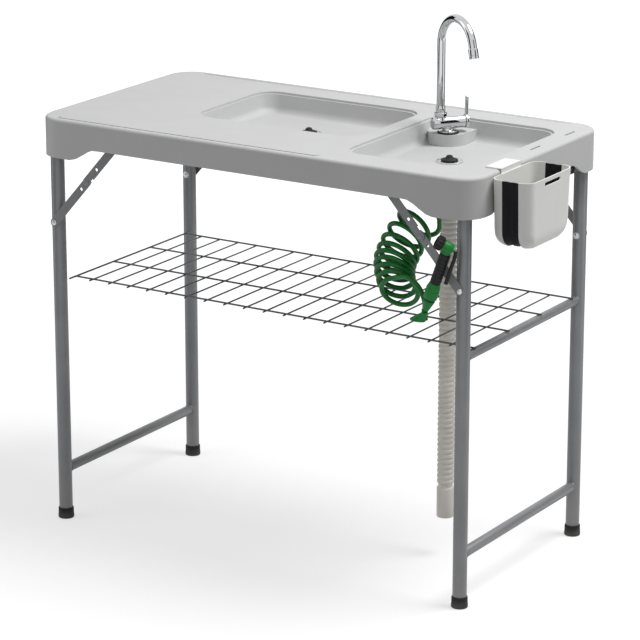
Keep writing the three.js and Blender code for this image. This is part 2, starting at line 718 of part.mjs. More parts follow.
// The ribbed hose: a plain collar over the drain's thread, the ribs, a neck and a plain cuff.
function makeDrainHose() {
  const threadEnd = PAN_BOTTOM - DRAIN_THREAD_LENGTH;
  const top = threadEnd + HOSE_OVERLAP;
  const ribsTop = top - HOSE_COLLAR_LENGTH;
  const cuffTop = HOSE_BOTTOM + HOSE_CUFF_LENGTH;
  const ribsBottom = cuffTop + HOSE_NECK_LENGTH;
  const socketRadius = boreFor(DRAIN_THREAD_RADIUS, HOSE_SIDES);
  const ribCount = Math.floor((ribsTop - ribsBottom) / HOSE_RIB_PITCH);
  const pitch = (ribsTop - ribsBottom) / ribCount;
  const outer = [
    [HOSE_CREST_RADIUS, top],
    [HOSE_CREST_RADIUS, ribsTop],
  ];
  const bore = [];
  for (let rib = 0; rib < ribCount; rib += 1) {
    const height = ribsTop - rib * pitch;
    outer.push([HOSE_VALLEY_RADIUS, height - pitch / 4], [HOSE_CREST_RADIUS, height - (pitch * 3) / 4]);
    if (rib % HOSE_RIBS_PER_BORE_RING === 0 && rib > 0) bore.push([HOSE_BORE_RADIUS, height]);
  }
  outer.push(
    [HOSE_VALLEY_RADIUS, ribsBottom],
    [HOSE_VALLEY_RADIUS, cuffTop],
    [HOSE_CREST_RADIUS, cuffTop],
    [HOSE_CREST_RADIUS, HOSE_BOTTOM],
    [HOSE_BORE_RADIUS, HOSE_BOTTOM],
  );
  const socket = [
    [HOSE_BORE_RADIUS, threadEnd - GAP],
    [socketRadius, threadEnd - GAP],
    [socketRadius, top],
  ];
  return turned([...outer, ...bore.reverse(), ...socket], HOSE_SIDES);
}

// Faucet, built at its own place with the body's axis turned from X

const faucetPlace = vec(
  RIGHT_BASIN.left + FAUCET_FROM_LEFT,
  RIGHT_BASIN.rear - FAUCET_FROM_REAR,
  DECK_HEIGHT,
);
const bodyAxis = vec(1, 0, 0).applyAxisAngle(vec(0, 0, 1), THREE.MathUtils.degToRad(FAUCET_TURN));
const onBody = (distance, height = FAUCET_AXIS_RISE) => bodyAxis.clone().multiplyScalar(distance).setZ(height);
const bodyFront = -FAUCET_LENGTH / 2;
const bodyRear = FAUCET_LENGTH / 2;
const riserFoot = onBody(bodyFront + RISER_FROM_FRONT, 0);
const nutBottom = FAUCET_AXIS_RISE + FAUCET_RADIUS + GAP;

function makeFaucetBody() {
  const edge = FAUCET_RADIUS / 6;
  const barrel = turnedAlong(
    [
      [0, 0],
      [FAUCET_RADIUS - edge, 0],
      [FAUCET_RADIUS, edge],
      [FAUCET_RADIUS, FAUCET_LENGTH],
      [0, FAUCET_LENGTH],
    ],
    onBody(bodyFront),
    onBody(bodyRear),
    FINE_SIDES,
  );
  const postBottom = GAP + GASKET_HEIGHT + GAP;
  const foot = vec(0, 0, postBottom);
  const flangeTop = vec(0, 0, postBottom + GASKET_HEIGHT);
  const flange = bar(foot, flangeTop, GASKET_RADIUS - GASKET_HEIGHT, FINE_SIDES);
  const post = bar(foot, vec(0, 0, FAUCET_AXIS_RISE), FAUCET_POST_RADIUS, FINE_SIDES);
  const shankEnd = vec(0, 0, -FAUCET_SHANK_LENGTH);
  const shank = bar(shankEnd, vec(0, 0, postBottom + OVERRUN), FAUCET_SHANK_RADIUS, SIDES);
  const boss = bar(
    riserFoot.clone().setZ(FAUCET_AXIS_RISE),
    riserFoot.clone().setZ(nutBottom - GAP),
    RISER_BOSS_RADIUS,
    FINE_SIDES,
  );
  const seat = bar(
    riserFoot.clone().setZ(nutBottom - SPOUT_INSERTION),
    riserFoot.clone().setZ(nutBottom),
    SPOUT_RADIUS + GAP,
    FINE_SIDES,
  );
  return cut(join(barrel, flange, post, shank, boss), seat);
}

function makeRing(outer, inner, height, sides = SIDES) {
  return turned(
    [
      [inner, 0],
      [outer, 0],
      [outer, height],
      [inner, height],
    ],
    sides,
  );
}

function makeHexNut(radius, height, through) {
  const hex = bar(vec(0, 0, 0), vec(0, 0, height), radius, 6);
  return cut(hex, bar(vec(0, 0, -OVERRUN), vec(0, 0, height + OVERRUN), boreFor(through, SIDES), SIDES));
}

const archEndAngle = THREE.MathUtils.degToRad(SPOUT_ARCH_SWEEP);
const archDirection = vec(Math.sin(archEndAngle), 0, Math.cos(archEndAngle));

// Points of the gooseneck from its foot, in the plane of X and Z, with a short straight end.
function archPoints() {
  const points = [];
  const foot = GAP - SPOUT_INSERTION;
  for (let step = 0; step < SPOUT_RISER_STEPS; step += 1) {
    points.push(vec(0, 0, foot + ((SPOUT_ARCH_RISE - foot) * step) / SPOUT_RISER_STEPS));
  }
  for (let step = 0; step <= SPOUT_ARCH_STEPS; step += 1) {
    const angle = THREE.MathUtils.degToRad((SPOUT_ARCH_SWEEP * step) / SPOUT_ARCH_STEPS);
    const out = SPOUT_ARCH_RADIUS * (1 - Math.cos(angle));
    points.push(vec(out, 0, SPOUT_ARCH_RISE + SPOUT_ARCH_RADIUS * Math.sin(angle)));
  }
  points.push(points.at(-1).clone().addScaledVector(archDirection, SPOUT_END_LENGTH));
  return points;
}

function makeSpout() {
  const points = archPoints();
  const path = new THREE.CatmullRomCurve3(points);
  const neck = tube(path, SPOUT_RADIUS, SPOUT_SIDES, points.length + SPOUT_RISER_STEPS);
  const collarBottom = SPOUT_NUT_HEIGHT + GAP;
  const collarTop = collarBottom + SPOUT_COLLAR_HEIGHT;
  const collar = bar(vec(0, 0, collarBottom), vec(0, 0, collarTop), SPOUT_COLLAR_RADIUS, FINE_SIDES);
  return join(neck, collar);
}

function makeAerator() {
  const start = archPoints().at(-1).clone().addScaledVector(archDirection, GAP);
  return turnedAlong(
    [
      [0, 0],
      [AERATOR_RADIUS - OVERRUN, 0],
      [AERATOR_RADIUS, OVERRUN],
      [AERATOR_RADIUS, AERATOR_LENGTH],
      [AERATOR_BORE_RADIUS, AERATOR_LENGTH],
      [AERATOR_BORE_RADIUS, AERATOR_LENGTH - AERATOR_BORE_DEPTH],
      [0, AERATOR_LENGTH - AERATOR_BORE_DEPTH],
    ],
    start,
    start.clone().add(archDirection),
  );
}

// The lever: a cap on the rear end of the body and a flat blade that stands on it.
function makeLever() {
  const capStart = bodyRear + GAP;
  const cap = bar(onBody(capStart), onBody(capStart + LEVER_CAP_LENGTH), LEVER_CAP_RADIUS, FINE_SIDES);
  const shape = new THREE.Shape();
  shape.moveTo(-LEVER_THICKNESS / 2, 0);
  shape.lineTo(LEVER_THICKNESS / 2, 0);
  shape.lineTo(LEVER_THICKNESS / 2 + LEVER_LEAN, LEVER_HEIGHT);
  shape.lineTo(-LEVER_THICKNESS / 2 + LEVER_LEAN, LEVER_HEIGHT);
  shape.closePath();
  const foot = onBody(capStart + LEVER_CAP_LENGTH / 2);
  const upright = pushedAlongY(shape, -LEVER_WIDTH / 2, LEVER_WIDTH / 2);
  const place = new THREE.Matrix4()
    .makeRotationZ(THREE.MathUtils.degToRad(FAUCET_TURN))
    .setPosition(foot);
  return join(cap, upright.transform(place.elements));
}

function makeFaucet() {
  const group = new THREE.Group();
  group.position.copy(faucetPlace);
  const gasket = makeRing(GASKET_RADIUS, FAUCET_SHANK_RADIUS + GAP, GASKET_HEIGHT, FINE_SIDES);
  const backnut = makeHexNut(BACKNUT_RADIUS, BACKNUT_HEIGHT, FAUCET_SHANK_RADIUS);
  const backnutBottom = -DECK_SHELL - GAP - BACKNUT_HEIGHT;
  const spoutNut = makeHexNut(SPOUT_NUT_RADIUS, SPOUT_NUT_HEIGHT, SPOUT_RADIUS);
  const nutPlace = riserFoot.clone().setZ(nutBottom);
  group.add(
    piece("faucet_gasket", gasket, COLOURS.rubber, SOFT, vec(0, 0, GAP)),
    piece("faucet_body", makeFaucetBody(), COLOURS.chrome, BRIGHT),
    piece("faucet_backnut", backnut, COLOURS.zinc, PLATED, vec(0, 0, backnutBottom)),
    piece("faucet_lever", makeLever(), COLOURS.chrome, BRIGHT),
    piece("spout_nut", spoutNut, COLOURS.chrome, BRIGHT, nutPlace),
  );
  const neck = new THREE.Group();
  neck.position.copy(riserFoot).setZ(nutBottom);
  neck.rotation.z = THREE.MathUtils.degToRad(SPOUT_TURN);
  neck.add(
    piece("spout", makeSpout(), COLOURS.chrome, BRIGHT),
    piece("spout_aerator", makeAerator(), COLOURS.chrome, BRIGHT),
  );
  group.add(neck);
  return group;
}

// Leg frames

// One frame: two tubular legs, the hinge bar above, the lower bar, and the bolts for the stays.
function makeLegFrame(hingeHeight, rackBar) {
  const bottom = FOOT_SOLE + GAP;
  const legTop = hingeHeight + LEG_TOP_RISE;
  const across = (height, radius) => bar(vec(0, -LEG_Y, height), vec(0, LEG_Y, height), radius, SIDES);
  const solids = [across(hingeHeight, HINGE_BAR_RADIUS), across(LOWER_BAR_HEIGHT, LOWER_BAR_RADIUS)];
  if (rackBar) solids.push(across(RACK_BAR_HEIGHT, RACK_BAR_RADIUS));
  const bores = [];
  for (const side of [-1, 1]) {
    const y = side * LEG_Y;
    solids.push(bar(vec(0, y, bottom), vec(0, y, legTop), LEG_RADIUS, SIDES));
    const boreFrom = vec(0, y, bottom - OVERRUN);
    bores.push(bar(boreFrom, vec(0, y, legTop - LEG_WALL), LEG_RADIUS - LEG_WALL, FEW_SIDES));
    const headStart = side * (LOWER_LINK_Y + STAY_THICKNESS / 2 + GAP);
    const headEnd = headStart + side * RIVET_HEAD_HEIGHT;
    const inside = side * (LEG_Y + LEG_RADIUS - LEG_WALL);
    const nutStart = side * (LEG_Y - LEG_RADIUS + LEG_WALL);
    const nutEnd = side * (LEG_Y - LEG_RADIUS - STAY_NUT_HEIGHT);
    const boltBar = (from, to, radius, endRadius) =>
      bar(vec(0, from, STAY_BOLT_HEIGHT), vec(0, to, STAY_BOLT_HEIGHT), radius, FEW_SIDES, endRadius);
    solids.push(
      boltBar(inside, headStart + side * GAP, STAY_PIN_RADIUS),
      boltBar(headStart, headEnd, RIVET_HEAD_RADIUS, RIVET_HEAD_RADIUS / 2),
      boltBar(nutStart, nutEnd, STAY_NUT_RADIUS, RIVET_HEAD_RADIUS),
    );
  }
  return cut(join(...solids), ...bores);
}

function makeFoot() {
  const bore = boreFor(LEG_RADIUS, FOOT_SIDES);
  return turned(
    [
      [0, 0],
      [FOOT_BASE_RADIUS - OVERRUN, 0],
      [FOOT_BASE_RADIUS, OVERRUN],
      [FOOT_BASE_RADIUS, FOOT_HEIGHT / 3],
      [FOOT_TOP_RADIUS, FOOT_HEIGHT],
      [bore, FOOT_HEIGHT],
      [bore, FOOT_SOLE],
      [0, FOOT_SOLE],
    ],
    FOOT_SIDES,
  );
}

// The bearing block that hangs a hinge bar under the worktop: a ring, a web and a screwed pad.
function makeHingeBlock(hingeHeight) {
  const half = HINGE_BLOCK_WIDTH / 2;
  const drop = UNDERSIDE - GAP - hingeHeight;
  const ring = bar(vec(0, -half, 0), vec(0, half, 0), HINGE_BLOCK_RADIUS, FINE_SIDES);
  const web = block(-HINGE_WEB / 2 + HINGE_PAD_SHIFT, HINGE_WEB / 2 + HINGE_PAD_SHIFT, -half, half, 0, drop);
  const pad = block(
    -HINGE_WEB / 2 + HINGE_PAD_SHIFT,
    HINGE_WEB / 2 + HINGE_PAD_SHIFT,
    -HINGE_PAD_LENGTH / 2,
    HINGE_PAD_LENGTH / 2,
    drop - HINGE_PAD_THICKNESS,
    drop,
  );
  const bore = bar(vec(0, -half - OVERRUN, 0), vec(0, half + OVERRUN, 0), HINGE_BAR_RADIUS + GAP, SIDES);
  return cut(join(ring, web, pad), bore);
}

// Stays

const stayBolt = vec(LEG_X, 0, STAY_BOLT_HEIGHT);
const stayTop = vec(LEG_X - STAY_TOP_INSET, 0, TOP_HEIGHT - STAY_TOP_DROP);
const linkLength = stayBolt.distanceTo(stayTop) / 2;
const stayAngle = Math.atan2(stayTop.z - stayBolt.z, stayBolt.x - stayTop.x);

// One flat link along +X from its pivot, with a notch beside the knuckle and a rivet head.
function makeLink(outward, notched, holeOffset) {
  const shape = new THREE.Shape();
  const half = STAY_WIDTH / 2;
  shape.absarc(0, 0, half, Math.PI / 2, (Math.PI * 3) / 2);
  shape.absarc(linkLength, 0, half, -Math.PI / 2, Math.PI / 2);
  shape.closePath();
  const hole = (x, radius) => {
    const path = new THREE.Path();
    path.absarc(x, 0, radius, 0, Math.PI * 2);
    return path;
  };
  shape.holes.push(hole(0, STAY_HOLE_RADIUS), hole(linkLength - holeOffset, STAY_SPARE_HOLE_RADIUS));
  const plate = pushedAlongY(shape, -STAY_THICKNESS / 2, STAY_THICKNESS / 2, FLAT_STEPS);
  const face = (outward * STAY_THICKNESS) / 2;
  const rivet = bar(
    vec(linkLength, face - outward * GAP, 0),
    vec(linkLength, face + outward * RIVET_HEAD_HEIGHT, 0),
    RIVET_HEAD_RADIUS,
    FEW_SIDES,
    RIVET_HEAD_RADIUS / 2,
  );
  const joined = join(plate, rivet);
  if (!notched) return joined;
  const notch = block(
    linkLength - STAY_NOTCH_OFFSET - STAY_NOTCH_WIDTH / 2,
    linkLength - STAY_NOTCH_OFFSET + STAY_NOTCH_WIDTH / 2,
    -STAY_THICKNESS,
    STAY_THICKNESS,
    half - STAY_NOTCH_DEPTH,
    half + OVERRUN,
  );
  return cut(joined, notch);
}

// The angle bracket that carries a stay's upper pivot, in the plane of the lower link.
function makeStayBracket(side) {
  const tabY = side * LOWER_LINK_Y;
  const inner = tabY - (side * STAY_TAB_THICKNESS) / 2;
  const outer = tabY + (side * STAY_TAB_THICKNESS) / 2;
  const ordered = (a, b) => [Math.min(a, b), Math.max(a, b)];
  const top = UNDERSIDE - GAP;
  const bottom = stayTop.z - STAY_TAB_WIDTH / 2;
  const tab = block(-STAY_TAB_WIDTH / 2, STAY_TAB_WIDTH / 2, ...ordered(inner, outer), bottom, top);
  const foot = block(
    -STAY_FOOT_LENGTH / 2,
    STAY_FOOT_LENGTH / 2,
    ...ordered(outer, outer - side * STAY_FOOT_DEPTH),
    top - STAY_FOOT_THICKNESS,
    top,
  );
  const headStart = side * (UPPER_LINK_Y + STAY_THICKNESS / 2 + GAP);
  const pinEnd = vec(0, headStart + side * GAP, stayTop.z);
  const pin = bar(vec(0, tabY, stayTop.z), pinEnd, STAY_PIN_RADIUS, FEW_SIDES);
  const head = bar(
    vec(0, headStart, stayTop.z),
    vec(0, headStart + side * RIVET_HEAD_HEIGHT, stayTop.z),
    RIVET_HEAD_RADIUS,
    FEW_SIDES,
    RIVET_HEAD_RADIUS / 2,
  );
  return join(tab, foot, pin, head);
}

const ENDS = [
  { name: "left", sign: -1, hinge: LEFT_HINGE_HEIGHT, rackBar: false },
  { name: "right", sign: 1, hinge: RIGHT_HINGE_HEIGHT, rackBar: true },
];
const SIDES_OF_STAND = [
  { name: "front", side: -1 },
  { name: "rear", side: 1 },
];

// Everything at one end: the frame, its feet, its hinge blocks and its two stays.
function makeEnd({ name: end, sign, hinge, rackBar }) {
  const group = new THREE.Group();
  const frame = makeLegFrame(hinge, rackBar);
  group.add(piece(end + "_leg_frame", frame, COLOURS.frame, COATED, vec(sign * LEG_X, 0, 0)));
  for (const { name, side } of SIDES_OF_STAND) {
    const at = end + "_" + name;
    const blockPlace = vec(sign * LEG_X, side * (LEG_Y - HINGE_BLOCK_INSET), hinge);
    const bracketPlace = vec(sign * stayTop.x, 0, 0);
    group.add(
      piece(at + "_foot", makeFoot(), COLOURS.foot, SOFT, vec(sign * LEG_X, side * LEG_Y, 0)),
      piece(at + "_hinge_block", makeHingeBlock(hinge), COLOURS.foot, MATT, blockPlace),
      piece(at + "_stay_bracket", makeStayBracket(side), COLOURS.frame, COATED, bracketPlace),
    );
    const lowerLink = makeLink(-side, false, LOWER_SPARE_HOLE_DISTANCE);
    const lowerPlace = vec(sign * stayBolt.x, side * LOWER_LINK_Y, stayBolt.z);
    const lower = piece(at + "_lower_stay", lowerLink, COLOURS.frame, COATED, lowerPlace);
    const upperLink = makeLink(side, true, UPPER_SPARE_HOLE_DISTANCE);
    const upperPlace = vec(sign * stayTop.x, side * UPPER_LINK_Y, stayTop.z);
    const upper = piece(at + "_upper_stay", upperLink, COLOURS.frame, COATED, upperPlace);
    lower.rotation.y = sign > 0 ? Math.PI + stayAngle : -stayAngle;
    upper.rotation.y = sign > 0 ? stayAngle : Math.PI - stayAngle;
    group.add(lower, upper);
  }
  return group;
}

// Rack

function makeRack(hoseX) {
  const longZ = RACK_BAR_HEIGHT + RACK_BAR_RADIUS + GAP + RACK_LONG_RADIUS;
  const crossZ = longZ - RACK_LONG_RADIUS - RACK_CROSS_RADIUS + RACK_WELD;
  const right = LEG_X + RACK_RIGHT_OVERLAP;
  const wires = [];
  for (let i = 0; i < RACK_LONG_COUNT; i += 1) {
    const y = RACK_LONG_SPAN * (i / (RACK_LONG_COUNT - 1) - 1 / 2);
    wires.push(bar(vec(RACK_LEFT, y, longZ), vec(right, y, longZ), RACK_LONG_RADIUS, 6));
  }
  const crossEnd = RACK_LONG_SPAN / 2 + RACK_CROSS_OVERHANG;
  for (let i = 0; i < RACK_CROSS_COUNT; i += 1) {
    const x = hoseX + (i - RACK_CELLS_LEFT_OF_HOSE - 1 / 2) * RACK_CROSS_PITCH;
    if (x < RACK_LEFT + RACK_CROSS_OVERHANG || x > LEG_X - RACK_CROSS_OVERHANG) continue;
    wires.push(bar(vec(x, -crossEnd, crossZ), vec(x, crossEnd, crossZ), RACK_CROSS_RADIUS, 6));
  }
  const reach = LEG_Y - LEG_RADIUS - GAP;
  const endX = RACK_LEFT + RACK_LONG_RADIUS / 2;
  wires.push(bar(vec(endX, -reach, longZ), vec(endX, reach, longZ), RACK_LONG_RADIUS, 6));
  return join(...wires);
}

// Bin

// The bin's tub, smaller all round by an inset: level rings with round corners that draw in to the floor.
function binTub(inset, top) {
  const rings = [];
  const ring = (drawX, drawY, height) =>
    roundedRing(
      {
        left: inset + drawX,
        right: BIN_DEPTH - inset - drawX,
        front: -BIN_LENGTH / 2 + inset + drawY,
        rear: BIN_LENGTH / 2 - inset - drawY,
      },
      BIN_CORNER_RADIUS - inset,
      height,
    );
  rings.push(ring(0, 0, top), ring(0, 0, -inset));
  const floor = -BIN_HEIGHT + inset;
  for (let step = 0; step <= CORNER_STEPS; step += 1) {
    const angle = (step / CORNER_STEPS) * (Math.PI / 2);
    const curl = 1 - Math.cos(angle);
    const drawX = BIN_DRAFT + BIN_FLOOR_DRAW_X * curl;
    const drawY = BIN_TAPER + BIN_FLOOR_DRAW_Y * curl;
    rings.push(ring(drawX, drawY, floor + BIN_FLOOR_RADIUS * (1 - Math.sin(angle))));
  }
  return loft(rings.reverse());
}

// The part of the bin's thin shell that lies between two planes across it.
function binSlice(fromX, toX, inset = 0, wall = BIN_WALL) {
  const slab = block(fromX, toX, -BIN_LENGTH, BIN_LENGTH, -BIN_HEIGHT * 2, BIN_HEIGHT);
  return cut(binTub(inset, -inset), binTub(inset + wall, BIN_RIM_DROP)).intersect(slab);
}

// The hook: a plate on the worktop with a tongue down into its slot, and a strap behind the bin.
function makeBinHook() {
  const plateTop = BIN_RIM_DROP + GAP + HOOK_THICKNESS;
  const strapOuter = GAP + HOOK_THICKNESS;
  const shape = new THREE.Shape();
  shape.moveTo(-HOOK_REACH, plateTop - HOOK_THICKNESS);
  shape.lineTo(GAP, plateTop - HOOK_THICKNESS);
  shape.lineTo(GAP, -HOOK_STRAP_LENGTH);
  shape.lineTo(strapOuter, -HOOK_STRAP_LENGTH);
  shape.lineTo(strapOuter, plateTop);
  shape.lineTo(-HOOK_REACH, plateTop);
  shape.closePath();
  const hookY = HOOK_CENTRE_Y - BIN_CENTRE_Y;
  const plate = pushedAlongY(shape, hookY - HOOK_WIDTH / 2, hookY + HOOK_WIDTH / 2);
  const tongueX = SLOT_X - TOP_LENGTH / 2;
  const tongueY = SLOT_FRONT_Y - BIN_CENTRE_Y;
  const tongueHalf = SLOT_WIDTH / 2 - GAP * 2;
  const tongue = block(
    tongueX - tongueHalf,
    tongueX + tongueHalf,
    tongueY - HOOK_TONGUE_WIDTH / 2,
    tongueY + HOOK_TONGUE_WIDTH / 2,
    BIN_RIM_DROP - HOOK_TONGUE_DEPTH,
    plateTop,
  );
  return join(plate, tongue);
}

function makeBin() {
  const group = new THREE.Group();
  group.position.set(TOP_LENGTH / 2, BIN_CENTRE_Y, TOP_HEIGHT - BIN_RIM_DROP);
  const gussetEnd = BIN_DEPTH - BIN_SHELL_DEPTH - GAP;
  const gusset = binSlice(BIN_SHELL_DEPTH + GAP, gussetEnd, BIN_GUSSET_INSET, BIN_WALL / 2);
  const slotTop = -BIN_SLOT_DROP + BIN_SLOT_HEIGHT / 2;
  const grip = block(
    BIN_DEPTH - BIN_SHELL_DEPTH / 2,
    BIN_DEPTH + OVERRUN,
    -BIN_SLOT_LENGTH / 2,
    BIN_SLOT_LENGTH / 2,
    slotTop - BIN_SLOT_HEIGHT,
    slotTop,
  );
  const frontShell = cut(binSlice(BIN_DEPTH - BIN_SHELL_DEPTH, BIN_DEPTH), grip);
  const tubPlace = vec(HOOK_THICKNESS + GAP * 2, 0, 0);
  group.add(
    piece("bin_hook", makeBinHook(), COLOURS.bin, MATT),
    piece("bin_back_shell", binSlice(0, BIN_SHELL_DEPTH), COLOURS.bin, MATT, tubPlace),
    piece("bin_gusset", gusset, COLOURS.gusset, SOFT, tubPlace),
    piece("bin_front_shell", frontShell, COLOURS.bin, MATT, tubPlace),
  );
  return group;
}

// Coiled hose

const coilAxisRoute = new THREE.CatmullRomCurve3(COIL_ROUTE.map((point) => vec(...point)));

// A point of the coil: its loops lie round a route, and their axis leans forward on the way down.
function coilPoint(share) {
  const centre = coilAxisRoute.getPoint(share);
  const [from, to, between] =
    share < 1 / 2
      ? [COIL_TOP_AXIS_SHARE, COIL_MIDDLE_AXIS_SHARE, share * 2]
      : [COIL_MIDDLE_AXIS_SHARE, COIL_BOTTOM_AXIS_SHARE, share * 2 - 1];
  const axis = from.clone().lerp(to, between).normalize();
  const across = vec(0, 1, 0).cross(axis).normalize();
  const along = axis.clone().cross(across);
  const turn = THREE.MathUtils.degToRad(COIL_START_DEGREES) - 2 * Math.PI * COIL_LOOPS * share;
  centre.addScaledVector(across, COIL_RADIUS * Math.cos(turn));
  return centre.addScaledVector(along, COIL_RADIUS * Math.sin(turn));
}

function coilPoints() {
  const count = Math.round(COIL_LOOPS * COIL_STEPS_PER_LOOP);
  return Array.from({ length: count + 1 }, (_, i) => coilPoint(i / count));
}

// The centre line of the coil with a straight stub of one diameter at each end.
function coilCentreLine() {
  const points = coilPoints();
  const start = points[0].clone().sub(points[1]).normalize();
  const end = points.at(-1).clone().sub(points.at(-2)).normalize();
  const stub = CORD_RADIUS * 2;
  const first = points[0].clone().addScaledVector(start, stub);
  const last = points.at(-1).clone().addScaledVector(end, stub);
  return { points: [first, ...points, last], start, end };
}

// The least distance between the surfaces of loops that pass each other.
function leastGap(points) {
  const apart = Math.round(COIL_STEPS_PER_LOOP / 2);
  let least = Infinity;
  for (let i = 0; i < points.length; i += 1) {
    for (let k = i + apart; k < points.length; k += 1) {
      least = Math.min(least, points[i].distanceTo(points[k]) - CORD_RADIUS * 2);
    }
  }
  return least;
}

function makeCoiledHose() {
  const group = new THREE.Group();
  const { points, start, end } = coilCentreLine();
  const gap = leastGap(new THREE.CatmullRomCurve3(points).getSpacedPoints(points.length));
  console.log("least gap between the coil's loops: " + gap.toFixed(2) + " mm");
  const coil = tube(new THREE.CatmullRomCurve3(points), CORD_RADIUS, CORD_SIDES, points.length - 1);
  const strand = (route) => {
    const path = new THREE.CatmullRomCurve3(route, false, "centripetal");
    return tube(path, CORD_RADIUS, CORD_SIDES, Math.ceil(path.getLength() / CORD_STEP) * 2);
  };
  const stub = CORD_RADIUS * 2;
  const unionEnd = unionPlace.clone().setZ(unionPlace.z - UNION_LENGTH - GAP);
  const first = points[0].clone().addScaledVector(start, GAP);
  const lead = strand([
    unionEnd,
    unionEnd.clone().setZ(unionEnd.z - stub),
    ...LEAD_ROUTE.map((p) => vec(...p)),
    first.clone().addScaledVector(start, stub),
    first,
  ]);
  const last = points.at(-1).clone().addScaledVector(end, GAP);
  const tail = strand([
    last,
    last.clone().addScaledVector(end, stub),
    ...TAIL_ROUTE.map((p) => vec(...p)),
    socketTop.clone().setZ(socketTop.z + stub),
    socketTop,
  ]);
  group.add(
    piece("hose_coil", coil, COLOURS.hose, SOFT),
    piece("hose_lead", lead, COLOURS.hose, SOFT),
    piece("hose_tail", tail, COLOURS.hose, SOFT),
    piece("hose_union", makeUnion(), COLOURS.gun, MATT, unionPlace),
  );
  return group;
}

// The union that joins the hose to the faucet's shank: a cup over the thread with a closed foot.
const unionPlace = faucetPlace.clone().setZ(DECK_HEIGHT - FAUCET_SHANK_LENGTH + UNION_LENGTH / 2);

function makeUnion() {
  const bore = FAUCET_SHANK_RADIUS + GAP;
  const outer = bore + UNION_RADIUS / 3;
  return turned(
    [
      [0, -UNION_LENGTH],
      [UNION_RADIUS, -UNION_LENGTH],
      [outer, -UNION_LENGTH / 2 - OVERRUN],
      [outer, 0],
      [bore, 0],
      [bore, -UNION_LENGTH / 2 - GAP],
      [0, -UNION_LENGTH / 2 - GAP],
    ],
    SIDES,
  );
}

// Spray gun

const gunDown = GUN_TAIL.clone().sub(GUN_GRIP_TOP).normalize();
const gunAt = (distance) => GUN_GRIP_TOP.clone().addScaledVector(gunDown, distance);
const gunNozzle = GUN_NOZZLE_SHARE.clone().normalize();
const gunHead = gunAt(-GUN_HEAD_OFFSET);
const socketTop = GUN_TAIL.clone().add(vec(-GUN_SOCKET_SHIFT, GUN_SOCKET_BACK, GUN_SOCKET_RISE));

function makeDial() {
  const start = gunHead.clone().addScaledVector(gunNozzle, GUN_HEAD_LENGTH / 2 + GAP);
  const end = start.clone().addScaledVector(gunNozzle, GUN_DIAL_LENGTH);
  const body = turnedAlong(
    [
      [0, 0],
      [GUN_DIAL_RADIUS - GUN_DIAL_RIB_RADIUS, 0],
      [GUN_DIAL_RADIUS, GUN_DIAL_RIB_RADIUS],
      [GUN_DIAL_RADIUS, GUN_DIAL_LENGTH - GUN_DIAL_RIB_RADIUS],
      [GUN_DIAL_RADIUS - GUN_DIAL_RIB_RADIUS, GUN_DIAL_LENGTH],
      [GUN_DIAL_FACE_RADIUS, GUN_DIAL_LENGTH],
      [GUN_DIAL_FACE_RADIUS, GUN_DIAL_LENGTH - GUN_DIAL_FACE_DEPTH],
      [0, GUN_DIAL_LENGTH - GUN_DIAL_FACE_DEPTH],
    ],
    start,
    end,
    FINE_SIDES,
  );
  const grooves = [];
  const across = vec(0, 0, 1).cross(gunNozzle).normalize();
  for (let i = 0; i < GUN_DIAL_RIBS; i += 1) {
    const offset = across.clone().applyAxisAngle(gunNozzle, (2 * Math.PI * i) / GUN_DIAL_RIBS);
    offset.multiplyScalar(GUN_DIAL_RADIUS + GUN_DIAL_RIB_RADIUS / 2);
    grooves.push(
      bar(
        start.clone().add(offset).addScaledVector(gunNozzle, -OVERRUN),
        end.clone().add(offset).addScaledVector(gunNozzle, OVERRUN),
        GUN_DIAL_RIB_RADIUS,
        6,
      ),
    );
  }
  return cut(body, ...grooves);
}

